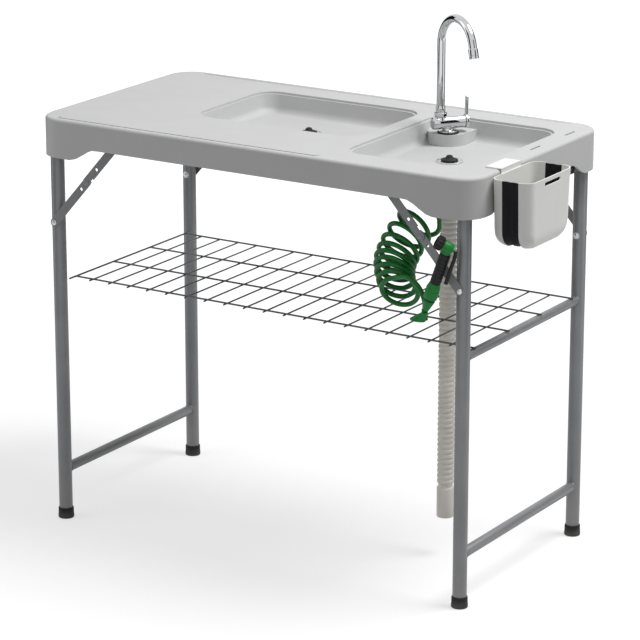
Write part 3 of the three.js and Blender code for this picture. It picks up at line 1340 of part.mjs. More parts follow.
function makeGun() {
  const group = new THREE.Group();
  const connectorStart = GUN_GRIP_LENGTH;
  const ringStart = connectorStart + GUN_CONNECTOR_LENGTH;
  const coneStart = ringStart + GUN_RING_LENGTH;
  const head = join(
    bar(
      gunHead.clone().addScaledVector(gunNozzle, -GUN_HEAD_LENGTH / 2),
      gunHead.clone().addScaledVector(gunNozzle, GUN_HEAD_LENGTH / 2),
      GUN_HEAD_RADIUS,
      SIDES,
    ),
    bar(gunHead, gunAt(-GAP * 2), GUN_GRIP_RADIUS - OVERRUN, SIDES),
  );
  const grip = turnedAlong(
    [
      [0, 0],
      [GUN_GRIP_RADIUS - OVERRUN, 0],
      [GUN_GRIP_RADIUS, GUN_GRIP_RADIUS],
      [GUN_GRIP_RADIUS - OVERRUN, GUN_GRIP_LENGTH / 2],
      [GUN_GRIP_RADIUS, GUN_GRIP_LENGTH - GAP],
      [0, GUN_GRIP_LENGTH - GAP],
    ],
    gunAt(0),
    gunAt(1),
  );
  const connector = turnedAlong(
    [
      [0, 0],
      [GUN_GRIP_RADIUS, 0],
      [GUN_CONNECTOR_RADIUS, GUN_GRIP_RADIUS],
      [GUN_CONNECTOR_RADIUS, GUN_CONNECTOR_LENGTH - GAP],
      [0, GUN_CONNECTOR_LENGTH - GAP],
    ],
    gunAt(connectorStart),
    gunAt(ringStart),
  );
  const ring = bar(gunAt(ringStart), gunAt(coneStart - GAP), GUN_RING_RADIUS, SIDES);
  const coneEnd = coneStart + GUN_CONE_LENGTH;
  const cone = bar(gunAt(coneStart), gunAt(coneEnd), GUN_CONE_RADIUS, SIDES, GUN_CONE_TIP_RADIUS);
  const neck = GUN_TAIL.clone();
  const flareFoot = neck.clone().add(vec(-GUN_FLARE_SHIFT, 0, -GUN_FLARE_HEIGHT));
  const oval = (centre, halfLength, halfWidth, height) =>
    Array.from({ length: SIDES }, (_, i) => {
      const angle = (2 * Math.PI * i) / SIDES;
      return vec(centre.x + halfLength * Math.cos(angle), centre.y + halfWidth * Math.sin(angle), height);
    });
  const flareTop = gunAt(coneStart + GUN_CONE_LENGTH / 2);
  const flare = loft([
    oval(flareFoot, GUN_FLARE_LENGTH / 2, GUN_FLARE_WIDTH / 2, flareFoot.z - GUN_FLARE_RIM),
    oval(flareFoot, GUN_FLARE_LENGTH / 2, GUN_FLARE_WIDTH / 2, flareFoot.z),
    oval(neck, GUN_NECK_RADIUS, GUN_NECK_RADIUS, neck.z),
    oval(flareTop, GUN_CONE_TIP_RADIUS, GUN_CONE_TIP_RADIUS, neck.z + GUN_CONE_LENGTH / 2),
  ]);
  const socketFoot = socketTop.clone().setZ(flareFoot.z - GUN_FLARE_RIM);
  const socket = join(
    bar(socketFoot, socketTop.clone().setZ(socketTop.z - GAP), GUN_SOCKET_RADIUS, SIDES),
    bar(socketFoot.clone().setZ(flareFoot.z), flareFoot, GUN_FLARE_RIM, FEW_SIDES),
  );
  const across = vec(0, 1, 0).cross(gunDown).normalize().negate();
  const beside = (distance, offset) => gunAt(distance).addScaledVector(across, offset);
  const trigger = tube(
    new THREE.CatmullRomCurve3([
      beside(-GUN_HEAD_OFFSET, GUN_TRIGGER_TOP),
      beside(0, GUN_TRIGGER_BOW),
      beside(GUN_TRIGGER_LENGTH / 3, GUN_TRIGGER_BOW),
      beside(GUN_TRIGGER_LENGTH, GUN_TRIGGER_END),
    ]),
    GUN_TRIGGER_RADIUS,
    FEW_SIDES,
    FEW_SIDES,
  );
  const lugEnd = beside(-GUN_HEAD_OFFSET, GUN_TRIGGER_TOP - GUN_TRIGGER_RADIUS - GUN_TRIGGER_PLAY);
  const lug = bar(gunHead, lugEnd, GUN_LUG_RADIUS, FEW_SIDES);
  group.add(
    piece("gun_head", join(head, lug), COLOURS.gun, MATT),
    piece("gun_dial", makeDial(), COLOURS.rubber, MATT),
    piece("gun_grip", grip, COLOURS.rubber, SOFT),
    piece("gun_trigger", trigger, COLOURS.rubber, MATT),
    piece("gun_connector", connector, COLOURS.gun, MATT),
    piece("gun_seal_ring", ring, COLOURS.rubber, SOFT),
    piece("gun_hose_tail", join(cone, flare, socket), COLOURS.gun, MATT),
  );
  return group;
}

// The whole stand

const stand = new THREE.Group();
stand.name = "camping_sink_stand";

const leftDrain = drainOf(LEFT_BASIN);
const rightDrain = drainOf(RIGHT_BASIN, RIGHT_DRAIN_SHIFT);
stand.add(piece("worktop", makeWorktop([leftDrain, rightDrain], faucetPlace), COLOURS.worktop, MATT));

for (const [name, drain] of [
  ["left", leftDrain],
  ["right", rightDrain],
]) {
  const stopperSeat = FLOOR + GAP + DRAIN_FLANGE_HEIGHT + GAP;
  stand.add(
    piece(name + "_drain_flange", makeDrainFlange(), COLOURS.drain, PLATED, vec(drain.x, drain.y, 0)),
    piece(name + "_drain_nut", makeDrainNut(), COLOURS.rubber, MATT, vec(drain.x, drain.y, DRAIN_NUT_TOP)),
    piece(name + "_stopper", makeStopper(), COLOURS.rubber, SOFT, vec(drain.x, drain.y, stopperSeat)),
  );
}
stand.add(piece("drain_hose", makeDrainHose(), COLOURS.ribbed, SOFT, vec(rightDrain.x, rightDrain.y, 0)));
stand.add(makeFaucet());
for (const end of ENDS) stand.add(makeEnd(end));
stand.add(piece("rack", makeRack(rightDrain.x), COLOURS.wire, COATED));
stand.add(makeBin());
stand.add(makeGun());
stand.add(makeCoiledHose());

// The origin is on the floor, midway between the sides of the stand without its green hose.
const FREE_HOSE_NODES = ["hose_lead", "hose_coil", "hose_tail"];
const bounds = new THREE.Box3();
stand.updateMatrixWorld(true);
stand.traverse((node) => {
  if (node.isMesh && !FREE_HOSE_NODES.includes(node.name)) bounds.expandByObject(node, true);
});
const middle = bounds.getCenter(vec(0, 0, 0));
stand.position.set(-middle.x, -middle.y, -bounds.min.z);

export default stand;
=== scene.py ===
# %% [markdown]
# # A camping sink stand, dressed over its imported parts
# The stand's working parts come packed from a CAD model: a worktop with two basins, two folding
# leg frames, a wire rack, a faucet, a drain hose, a coiled green hose with a spray gun, and a
# hung bin. This lesson builds the surfaces that the eye sees. Each piece is modelled the way a
# person would at the screen: add a primitive, shape it in edit mode, finish it, and let it ride
# on its moving part.

import math

import bmesh
import bpy
from mathutils import Matrix, Vector


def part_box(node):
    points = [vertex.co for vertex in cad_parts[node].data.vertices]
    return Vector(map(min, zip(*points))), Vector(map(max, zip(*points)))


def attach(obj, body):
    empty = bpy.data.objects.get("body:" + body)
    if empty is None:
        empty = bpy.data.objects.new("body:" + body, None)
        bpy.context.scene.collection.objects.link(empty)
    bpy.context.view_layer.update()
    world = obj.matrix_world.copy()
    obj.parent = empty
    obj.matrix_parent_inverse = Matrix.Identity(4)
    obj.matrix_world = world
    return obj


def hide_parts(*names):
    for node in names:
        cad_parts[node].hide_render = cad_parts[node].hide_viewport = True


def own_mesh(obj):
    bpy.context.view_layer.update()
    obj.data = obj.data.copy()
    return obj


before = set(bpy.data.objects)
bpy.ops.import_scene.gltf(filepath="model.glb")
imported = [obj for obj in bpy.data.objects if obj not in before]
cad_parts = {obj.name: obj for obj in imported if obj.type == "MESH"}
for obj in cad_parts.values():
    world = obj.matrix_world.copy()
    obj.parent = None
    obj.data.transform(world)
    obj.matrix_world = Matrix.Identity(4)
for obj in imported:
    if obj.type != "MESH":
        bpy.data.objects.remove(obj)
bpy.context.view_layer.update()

# %% [markdown]
# ## Places
# The CAD source measures from the middle of the worktop, in millimetres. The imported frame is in
# metres and has its own origin, so one helper turns a source place into a frame place. With it,
# every size below can be read as a plain millimetre.

# %% Places in millimetres
MM = 0.001
top_low, top_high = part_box("worktop")
HOME = Vector(((top_low.x + top_high.x) / 2, (top_low.y + top_high.y) / 2, 0))


def at(x, y, z):
    """A place in the frame, from millimetres measured from the worktop's middle and the floor."""
    return HOME + Vector((x, y, z)) * MM


print("worktop's middle:", [round(value, 4) for value in HOME])

# %% [markdown]
# ## The camera
# The photograph was taken from the front right, a little above the worktop, with a long lens: the
# rear edge of the top is hardly shorter than the front one. A long lens far away keeps that calm
# perspective. The camera is turned down a little.

# %% Camera
SENSOR_WIDTH, LENS = 36, 174.95
CAMERA_SPOT, CAMERA_DOWN, CAMERA_TURN = (3414.1, -5429.5, 2396.5), 0.2917, 0.5604
camera_data = bpy.data.cameras.new("photo_camera")
camera_data.sensor_width = SENSOR_WIDTH
camera_data.lens = LENS
camera = bpy.data.objects.new("photo_camera", camera_data)
bpy.context.scene.collection.objects.link(camera)
camera.location = at(*CAMERA_SPOT)
camera.rotation_euler = (math.pi / 2 - CAMERA_DOWN, 0, CAMERA_TURN)
bpy.context.scene.camera = camera
print("camera stands", round((camera.location - HOME).length, 2), "m away")

# %% [markdown]
# ## Helpers for modelling
# Blender's operators act on whatever is selected, and a fresh import is selected all over. So
# each new primitive starts from an empty selection, and inside edit mode faces are picked by a
# test on their middle and their direction, the way an eye would pick them.


# %% Start, pick and finish
def clear_selection():
    bpy.ops.object.select_all(action="DESELECT")


def only(piece):
    """Selects one object alone and makes it the active one."""
    clear_selection()
    piece.select_set(True)
    bpy.context.view_layer.objects.active = piece


def start(kind, name, **options):
    """Adds a primitive of a kind and gives it its name."""
    clear_selection()
    getattr(bpy.ops.mesh, "primitive_" + kind + "_add")(**options)
    piece = bpy.context.active_object
    piece.name = name
    return piece


def edit(piece):
    only(piece)
    bpy.ops.object.mode_set(mode="EDIT")
    bpy.ops.mesh.select_all(action="DESELECT")


def leave_edit():
    bpy.ops.object.mode_set(mode="OBJECT")


def pick_all():
    bpy.ops.mesh.select_all(action="SELECT")


def pull(height):
    """In edit mode, extrudes what is selected straight up, or down, by millimetres."""
    bpy.ops.mesh.extrude_region_move(TRANSFORM_OT_translate={"value": (0, 0, height * MM)})


def resize_about(centre, x, y):
    """In edit mode, scales what is selected along X and Y about a place."""
    bpy.ops.transform.resize(value=(x, y, 1), center_override=centre)


def pick_faces(piece, test):
    """In edit mode, selects the faces for which test(middle, normal) is true."""
    shape = bmesh.from_edit_mesh(piece.data)
    bpy.ops.mesh.select_mode(type="FACE")
    bpy.ops.mesh.select_all(action="DESELECT")
    for face in shape.faces:
        face.select = bool(test(face.calc_center_median(), face.normal))
    shape.select_flush_mode()
    bmesh.update_edit_mesh(piece.data)


def pick_edges(piece, test):
    """In edit mode, selects the edges for which test(one end, other end) is true."""
    shape = bmesh.from_edit_mesh(piece.data)
    bpy.ops.mesh.select_mode(type="EDGE")
    bpy.ops.mesh.select_all(action="DESELECT")
    for edge in shape.edges:
        edge.select = bool(test(edge.verts[0].co, edge.verts[1].co))
    shape.select_flush_mode()
    bmesh.update_edit_mesh(piece.data)


def settle(piece):
    """Puts the object's place, turn and size into its mesh."""
    only(piece)
    bpy.ops.object.transform_apply(location=True, rotation=True, scale=True)
    return piece


def tidy_mesh(piece, apart=0.00001):
    """Merges doubled points and turns all faces outwards."""
    edit(piece)
    pick_all()
    bpy.ops.mesh.remove_doubles(threshold=apart)
    bpy.ops.mesh.normals_make_consistent(inside=False)
    leave_edit()
    return piece


def modify(piece, kind, **settings):
    """Adds a modifier and applies it at once."""
    modifier = piece.modifiers.new(kind.lower(), kind)
    for name, value in settings.items():
        setattr(modifier, name, value)
    only(piece)
    bpy.ops.object.modifier_apply(modifier=modifier.name)
    return piece


def carve(piece, tool, operation="DIFFERENCE"):
    """Cuts a tool out of a piece, or joins it on, and throws the tool away."""
    modify(piece, "BOOLEAN", object=tool, operation=operation, solver="EXACT")
    bpy.data.objects.remove(tool)
    return piece


def joined(name, pieces):
    """Several meshes as one object."""
    clear_selection()
    for piece in pieces:
        piece.select_set(True)
    bpy.context.view_layer.objects.active = pieces[0]
    bpy.ops.object.join()
    pieces[0].name = name
    return pieces[0]


def copied(piece, name, move=(0, 0, 0)):
    """A copy with its own mesh, moved by millimetres."""
    other = piece.copy()
    other.data = piece.data.copy()
    other.name = name
    bpy.context.scene.collection.objects.link(other)
    other.location = other.location + Vector(move) * MM
    return settle(other)


def smooth(piece, degrees=32):
    only(piece)
    bpy.ops.object.shade_smooth_by_angle(angle=math.radians(degrees))
    return piece


def even_shading(piece, degrees=32):
    """Smooth shading in which the large flat faces stay flat beside their small rounded edges."""
    smooth(piece, degrees)
    return modify(piece, "WEIGHTED_NORMAL", mode="FACE_AREA", weight=50, keep_sharp=True)


def soften(piece, width, segments=2, degrees=32):
    """Rounds every hard edge, because no moulded or bent part has a truly sharp one."""
    modify(
        piece,
        "BEVEL",
        width=width * MM,
        segments=segments,
        limit_method="ANGLE",
        angle_limit=math.radians(degrees),
        use_clamp_overlap=True,
    )
    return even_shading(piece, degrees)


dressed = {}


def dress(piece, body, nodes, material):
    """Hands a finished piece to its moving body, in place of the CAD nodes that it stands for."""
    piece.data.materials.clear()
    piece.data.materials.append(material)
    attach(piece, body)
    if nodes:
        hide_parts(*nodes)
    dressed[piece.name] = len(piece.data.polygons)
    return piece


print("helpers ready")

# %% [markdown]
# ## Round things and flat ones
# Most round parts of the stand are turned: a circle is extruded ring by ring, and each new ring
# is scaled to its radius, like a potter's wall. Bars between two points are the same with two
# rings. Bent tubes and hoses follow a curve instead, which is given a thickness and turned into a
# mesh. A flat block is a plane with rounded corners, pulled up. Ribs are thin bars set in a ring.


# %% Turned pieces and tubes
def turned(name, profile, sides=48, open_bore=False):
    """Rings of (radius, height) in millimetres round the Z axis, from the first to the last."""
    (radius, height), rest = profile[0], profile[1:]
    piece = start(
        "circle",
        name,
        vertices=sides,
        radius=radius * MM,
        fill_type="NOTHING" if open_bore else "NGON",
        location=(0, 0, height * MM),
    )
    settle(piece)
    edit(piece)
    pick_all()
    for next_radius, next_height in rest:
        if open_bore:
            move = (0, 0, (next_height - height) * MM)
            bpy.ops.mesh.extrude_edges_move(TRANSFORM_OT_translate={"value": move})
        else:
            pull(next_height - height)
        if next_radius != radius:
            resize_about((0, 0, next_height * MM), next_radius / radius, next_radius / radius)
        radius, height = next_radius, next_height
    leave_edit()
    return tidy_mesh(piece)


def stood(piece, foot, direction=(0, 0, 1)):
    """Moves a piece made round the Z axis so that it stands on a foot and points in a direction."""
    turn = Vector(direction).normalized().to_track_quat("Z", "Y").to_matrix().to_4x4()
    piece.matrix_world = Matrix.Translation(foot) @ turn
    return settle(piece)


def rounded_bar(name, start_point, end_point, radius, sides=24, edge=1.0):
    """A bar between two places, with its ends' edges rounded."""
    length = (end_point - start_point).length / MM
    low, high = (edge, length - edge)
    rings = [(radius - edge, 0), (radius - edge * 0.3, edge * 0.3), (radius, low)]
    rings += [(radius, high), (radius - edge * 0.3, length - edge * 0.3), (radius - edge, length)]
    piece = turned(name, rings, sides)
    return smooth(stood(piece, start_point, end_point - start_point))


def smooth_line(points, spacing=4.0):
    """A smooth line through points, as closely spaced places (a centripetal Catmull-Rom curve)."""
    points = [Vector(point) for point in points]
    ends = [points[0] * 2 - points[1]] + points + [points[-1] * 2 - points[-2]]
    line = []
    for p0, p1, p2, p3 in zip(ends, ends[1:], ends[2:], ends[3:]):
        t1 = max((p1 - p0).length, 1e-9) ** 0.5
        t2 = t1 + max((p2 - p1).length, 1e-9) ** 0.5
        t3 = t2 + max((p3 - p2).length, 1e-9) ** 0.5
        count = max(1, round((p2 - p1).length / (spacing * MM)))
        for step in range(count):
            t = t1 + (t2 - t1) * step / count
            a1 = p0 * ((t1 - t) / t1) + p1 * (t / t1)
            a2 = p1 * ((t2 - t) / (t2 - t1)) + p2 * ((t - t1) / (t2 - t1))
            a3 = p2 * ((t3 - t) / (t3 - t2)) + p3 * ((t - t2) / (t3 - t2))
            b1 = a1 * ((t2 - t) / t2) + a2 * (t / t2)
            b2 = a2 * ((t3 - t) / (t3 - t1)) + a3 * ((t - t1) / (t3 - t1))
            line.append(b1 * ((t2 - t) / (t2 - t1)) + b2 * ((t - t1) / (t2 - t1)))
    return line + [points[-1]]


def tube(name, line, radius, roundness=3):
    """A tube of one thickness along a line of places, closed at its ends."""
    curve = bpy.data.curves.new(name, "CURVE")
    curve.dimensions = "3D"
    curve.bevel_depth = radius * MM
    curve.bevel_resolution = roundness
    curve.use_fill_caps = True
    spline = curve.splines.new("POLY")
    spline.points.add(len(line) - 1)
    for point, place in zip(spline.points, line):
        point.co = (*place, 1)
    piece = bpy.data.objects.new(name, curve)
    bpy.context.scene.collection.objects.link(piece)
    only(piece)
    bpy.ops.object.convert(target="MESH")
    piece = bpy.context.active_object
    return smooth(tidy_mesh(piece), 40)


def cornered(piece, corner, steps):
    """Rounds the corners of a plane, and leaves all of it selected in edit mode."""
    edit(piece)
    pick_all()
    if corner:
        bpy.ops.mesh.bevel(offset=corner * MM, segments=steps, affect="VERTICES")
        pick_all()
    return piece


def sheet(name, left, right, front, rear, level, corner=0.0, steps=10):
    """A plane between four sides with its corners rounded, left in edit mode."""
    piece = start("plane", name, size=1, location=at((left + right) / 2, (front + rear) / 2, level))
    piece.scale = ((right - left) * MM, (rear - front) * MM, 1)
    return cornered(settle(piece), corner, steps)


def plate(name, left, right, front, rear, bottom, top, corner=0.0, steps=10):
    """A flat block: a sheet pulled up to its thickness."""
    piece = sheet(name, left, right, front, rear, bottom, corner, steps)
    pull(top - bottom)
    leave_edit()
    return tidy_mesh(piece)


def ribbed(piece, name, count, circle, low, high, thickness, sides, edge, stand=None):
    """Joins a ring of thin bars to a piece, round the Z axis or round the line it stands on."""
    for number in range(count):
        angle = 2 * math.pi * number / count
        spot = Vector((circle * math.cos(angle), circle * math.sin(angle), 0))
        foot, head = spot + Vector((0, 0, low)), spot + Vector((0, 0, high))
        rib = rounded_bar("rib", foot * MM, head * MM, thickness, sides, edge)
        if stand:
            stood(rib, *stand)
        piece = joined(name, [piece, rib])
    return piece


print("turned pieces, bars, tubes and plates ready")

# %% [markdown]
# ## Surface effects that several finishes share
# Moulded plastic, powder coat and rubber all have a fine skin that breaks up the light, and
# everything that stands outdoors picks up a little dust near the ground. Each effect is made once
# as a node group, and each finish places it with its own numbers.


# %% Shared effects
def emptied(owner):
    """Gives a material or world an empty node tree."""
    owner.use_nodes = True
    owner.node_tree.nodes.clear()
    return owner.node_tree


def effect(name, inputs, outputs):
    """An empty shader node group with named sockets."""
    group = bpy.data.node_groups.new(name, "ShaderNodeTree")
    for label, value in inputs.items():
        socket = group.interface.new_socket(
            name=label, in_out="INPUT", socket_type="NodeSocketFloat"
        )
        socket.default_value = value
    for label in outputs:
        group.interface.new_socket(name=label, in_out="OUTPUT", socket_type="NodeSocketFloat")
    return group, group.nodes.new("NodeGroupInput"), group.nodes.new("NodeGroupOutput")


def node(tree, kind, links=None, **settings):
    """Adds a node, sets its values and connects its inputs."""
    made = tree.nodes.new(kind)
    for name, value in settings.items():
        setattr(made, name, value)
    for name, source in (links or {}).items():
        socket = made.inputs[name]
        if isinstance(source, bpy.types.NodeSocket):
            tree.links.new(source, socket)
        else:
            socket.default_value = source
    return made


skin, skin_in, skin_out = effect("Moulded skin", {"Size": 900.0, "Patch": 14.0}, ["Height", "Tint"])
skin_place = node(skin, "ShaderNodeTexCoord").outputs["Object"]
fine = node(
    skin,
    "ShaderNodeTexNoise",
    {"Vector": skin_place, "Scale": skin_in.outputs["Size"], "Detail": 2.0},
)
broad = node(
    skin,
    "ShaderNodeTexNoise",
    {"Vector": skin_place, "Scale": skin_in.outputs["Patch"], "Detail": 4.0},
)
skin.links.new(fine.outputs["Fac"], skin_out.inputs["Height"])
skin.links.new(broad.outputs["Fac"], skin_out.inputs["Tint"])

dust, dust_in, dust_out = effect("Ground dust", {"Reach": 0.12, "Amount": 0.5}, ["Mask"])
dust_place = node(dust, "ShaderNodeTexCoord").outputs["Object"]
dust_height = node(dust, "ShaderNodeSeparateXYZ", {"Vector": dust_place}).outputs["Z"]
dust_fade = node(
    dust,
    "ShaderNodeMapRange",
    {
        "Value": dust_height,
        "From Min": 0.0,
        "From Max": dust_in.outputs["Reach"],
        "To Min": 1.0,
        "To Max": 0.0,
    },
)
dust_noise = node(dust, "ShaderNodeTexNoise", {"Vector": dust_place, "Scale": 60.0, "Detail": 5.0})
dust_mix = node(
    dust,
    "ShaderNodeMath",
    {0: dust_fade.outputs["Result"], 1: dust_noise.outputs["Fac"]},
    operation="MULTIPLY",
)
dust_all = node(
    dust,
    "ShaderNodeMath",
    {0: dust_mix.outputs[0], 1: dust_in.outputs["Amount"]},
    operation="MULTIPLY",
)
dust.links.new(dust_all.outputs[0], dust_out.inputs["Mask"])

scuff, scuff_in, scuff_out = effect("Handling marks", {"Size": 30.0, "Sharp": 0.62}, ["Mask"])
scuff_place = node(scuff, "ShaderNodeTexCoord").outputs["Object"]
scuff_stretch = node(
    scuff,
    "ShaderNodeMapping",
    {"Vector": scuff_place, "Scale": (1.0, 0.35, 1.6), "Rotation": (0.0, 0.3, 0.5)},
)
scuff_noise = node(
    scuff,
    "ShaderNodeTexNoise",
    {
        "Vector": scuff_stretch.outputs["Vector"],
        "Scale": scuff_in.outputs["Size"],
        "Detail": 7.0,
        "Roughness": 0.7,
    },
)
scuff_edge = node(scuff, "ShaderNodeMath", {0: scuff_in.outputs["Sharp"], 1: 0.12}, operation="ADD")
scuff_cut = node(
    scuff,
    "ShaderNodeMapRange",
    {
        "Value": scuff_noise.outputs["Fac"],
        "From Min": scuff_in.outputs["Sharp"],
        "From Max": scuff_edge.outputs[0],
    },
)
scuff.links.new(scuff_cut.outputs["Result"], scuff_out.inputs["Mask"])
print("shared effects:", [group.name for group in bpy.data.node_groups])

# %% [markdown]
# ## Finishes
# One recipe covers the painted, moulded and rubber surfaces: a base colour that wanders slightly,
# a roughness that is broken by handling marks, a fine bump from the skin, and dust that grows
# towards the ground. Only the numbers differ, as they do between real plastics and coats.


# %% Coated and moulded finishes
def coated(
    name,
    light,
    dark,
    roughness,
    bump=0.1,
    size=900.0,
    patch=14.0,
    metal=0.0,
    marks=0.06,
    dust_reach=0.0,
    coat=0.0,
    shine=0.5,
):
    """A material from two close colours, with skin, handling marks and ground dust."""
    material = bpy.data.materials.new(name)
    tree = emptied(material)
    skin_node = node(tree, "ShaderNodeGroup", node_tree=skin)
    skin_node.inputs["Size"].default_value = size
    skin_node.inputs["Patch"].default_value = patch
    scuff_node = node(tree, "ShaderNodeGroup", node_tree=scuff)
    tone = node(
        tree,
        "ShaderNodeMapRange",
        {"Value": skin_node.outputs["Tint"], "From Min": 0.35, "From Max": 0.65},
    )
    colour = node(
        tree,
        "ShaderNodeMix",
        {"Factor": tone.outputs["Result"], "A": (*dark, 1), "B": (*light, 1)},
        data_type="RGBA",
    )
    last = colour.outputs["Result"]
    if dust_reach:
        dust_node = node(tree, "ShaderNodeGroup", node_tree=dust)
        dust_node.inputs["Reach"].default_value = dust_reach
        dusty = node(
            tree,
            "ShaderNodeMix",
            {"Factor": dust_node.outputs["Mask"], "A": last, "B": (0.42, 0.40, 0.36, 1)},
            data_type="RGBA",
        )
        last = dusty.outputs["Result"]
    rough = node(
        tree,
        "ShaderNodeMapRange",
        {
            "Value": scuff_node.outputs["Mask"],
            "To Min": roughness,
            "To Max": min(1.0, roughness + marks),
        },
    )
    relief = node(
        tree,
        "ShaderNodeBump",
        {"Height": skin_node.outputs["Height"], "Strength": bump, "Distance": 0.0006},
    )
    shader = node(
        tree,
        "ShaderNodeBsdfPrincipled",
        {
            "Base Color": last,
            "Roughness": rough.outputs["Result"],
            "Normal": relief.outputs["Normal"],
            "Metallic": metal,
            "Coat Weight": coat,
            "Coat Roughness": 0.25,
            "Specular IOR Level": shine,
        },
    )
    node(tree, "ShaderNodeOutputMaterial", {"Surface": shader.outputs["BSDF"]})
    return material


WORKTOP_PLASTIC = coated(
    "worktop_plastic",
    (0.595, 0.60, 0.597),
    (0.58, 0.585, 0.582),
    0.55,
    bump=0.16,
    size=900,
    shine=0.4,
)
POWDER_COAT = coated(
    "powder_coat",
    (0.27, 0.275, 0.285),
    (0.24, 0.245, 0.255),
    0.42,
    bump=0.12,
    size=1300,
    metal=0.25,
    dust_reach=0.15,
)
FOOT_RUBBER = coated(
    "foot_rubber",
    (0.024, 0.025, 0.027),
    (0.015, 0.016, 0.017),
    0.72,
    bump=0.3,
    size=600,
    dust_reach=0.02,
    shine=0.3,
)
BLACK_PLASTIC = coated("black_plastic", (0.035, 0.036, 0.04), (0.024, 0.025, 0.028), 0.5, bump=0.15)
COATED_WIRE = coated(
    "coated_wire", (0.125, 0.13, 0.135), (0.10, 0.105, 0.11), 0.38, bump=0.05, metal=0.4
)
BLACK_RUBBER = coated(
    "black_rubber", (0.018, 0.018, 0.019), (0.011, 0.011, 0.012), 0.6, bump=0.12, shine=0.25
)
RIBBED_PLASTIC = coated(
    "ribbed_hose", (0.91, 0.87, 0.81), (0.85, 0.80, 0.74), 0.42, bump=0.08, patch=22, coat=0.15
)
HOSE_GREEN = coated(
    "hose_green",
    (0.008, 0.215, 0.032),
    (0.005, 0.165, 0.023),
    0.34,
    bump=0.05,
    patch=40,
    coat=0.12,
    shine=0.2,
)
GUN_GREEN = coated(
    "gun_green", (0.012, 0.31, 0.052), (0.008, 0.25, 0.04), 0.38, bump=0.08, coat=0.08, shine=0.25
)
GUN_BLACK = coated(
    "gun_black", (0.016, 0.017, 0.018), (0.010, 0.010, 0.011), 0.5, bump=0.3, size=500, shine=0.25
)
BIN_PLASTIC = coated("bin_plastic", (0.90, 0.90, 0.875), (0.87, 0.87, 0.845), 0.36, bump=0.06)
BIN_GUSSET = coated(
    "bin_gusset", (0.012, 0.012, 0.015), (0.007, 0.007, 0.010), 0.65, bump=0.14, shine=0.15
)
print("coated finishes made")

# %% [markdown]
# ## Metals
# The faucet is chrome, nearly a mirror, so it gets no bump at all. The drain rings are turned
# steel: their noise is squeezed along the height, which draws fine lines round them. Both are
# fully metallic, and the roughness does the rest.


# %% Metals
def metal(name, light, dark, roughness, spread, scale, stretch, bump):
    """A bare metal, whose roughness wanders along a stretched noise."""
    material = bpy.data.materials.new(name)
    tree = emptied(material)
    place = node(tree, "ShaderNodeTexCoord").outputs["Object"]
    stretched = node(tree, "ShaderNodeMapping", {"Vector": place, "Scale": stretch})
    noise = node(
        tree,
        "ShaderNodeTexNoise",
        {"Vector": stretched.outputs["Vector"], "Scale": scale, "Detail": 4.0},
    )
    colour = node(
        tree,
        "ShaderNodeMix",
        {"Factor": noise.outputs["Fac"], "A": (*dark, 1), "B": (*light, 1)},
        data_type="RGBA",
    )
    rough = node(
        tree,
        "ShaderNodeMapRange",
        {"Value": noise.outputs["Fac"], "To Min": roughness, "To Max": roughness + spread},
    )
    relief = node(
        tree,
        "ShaderNodeBump",
        {"Height": noise.outputs["Fac"], "Strength": bump, "Distance": 0.0003},
    )
    shader = node(
        tree,
        "ShaderNodeBsdfPrincipled",
        {
            "Base Color": colour.outputs["Result"],
            "Roughness": rough.outputs["Result"],
            "Normal": relief.outputs["Normal"],
            "Metallic": 1.0,
        },
    )
    node(tree, "ShaderNodeOutputMaterial", {"Surface": shader.outputs["BSDF"]})
    return material


CHROME = metal(
    "chrome", (0.59, 0.60, 0.61), (0.56, 0.57, 0.58), 0.03, 0.02, 12.0, (1.0, 1.0, 1.0), 0.0
)
DRAIN_STEEL = metal(
    "drain_steel", (0.74, 0.75, 0.76), (0.60, 0.61, 0.62), 0.22, 0.16, 140.0, (1.0, 1.0, 8.0), 0.05
)
ZINC = metal(
    "zinc", (0.66, 0.67, 0.68), (0.55, 0.56, 0.58), 0.32, 0.14, 90.0, (1.0, 1.0, 1.0), 0.08
)
print("metals made")

# %% [markdown]
# ## The green hose
# The hose leaves the faucet's shank under the worktop, runs forward below the basins, hangs down
# in nearly nine loops, and ends in the spray gun. A hose has one length and one thickness, so it
# is a single tube along one line. The loops come from a formula, a circle carried along a route,
# because nobody places two hundred points by hand. Their tilt changes on the way down, as it does
# in a real coil that hangs from its first loop.

# %% Route of the hose
CORD_RADIUS = 5.2
COIL_LOOPS = 8.78
COIL_RADIUS = 41.0
COIL_START = math.radians(190)
COIL_ROUTE = [
    (357, -166, 786),
    (333, -173, 757),
    (319, -180, 731),
    (312, -187, 711),
    (309, -194, 695),
    (312, -202, 681),
    (319, -210, 667),
    (330, -219, 653),
    (344, -228, 640),
]
COIL_AXES = [
    Vector((-0.13, -0.85, -0.51)), Vector((0.03, -0.79, -0.61)), Vector((0.14, -0.88, -0.45))
]
LEAD_ROUTE = [
    (247, 122, 808),
    (249, 111, 793),
    (252, 95, 784.5),
    (256, 76, 783),
    (271, 19, 792),
    (296, -36, 812),
    (327, -90, 835),
    (361, -147, 850.5),
    (372, -163, 848.5),
    (382, -175, 840),
    (390.5, -181.5, 825.5),
    (396, -182, 808),
]
TAIL_ROUTE = [
    (366.6, -256.6, 685.4), (382.3, -261.7, 685.4), (406.9, -269.1, 674.6), (420.7, -273, 658)
]
FAUCET = Vector((246.5, 126, 890))
HOSE_START = Vector((FAUCET.x, FAUCET.y, 837.7))
HOSE_END = Vector((426.0, -273.9, 632.0))


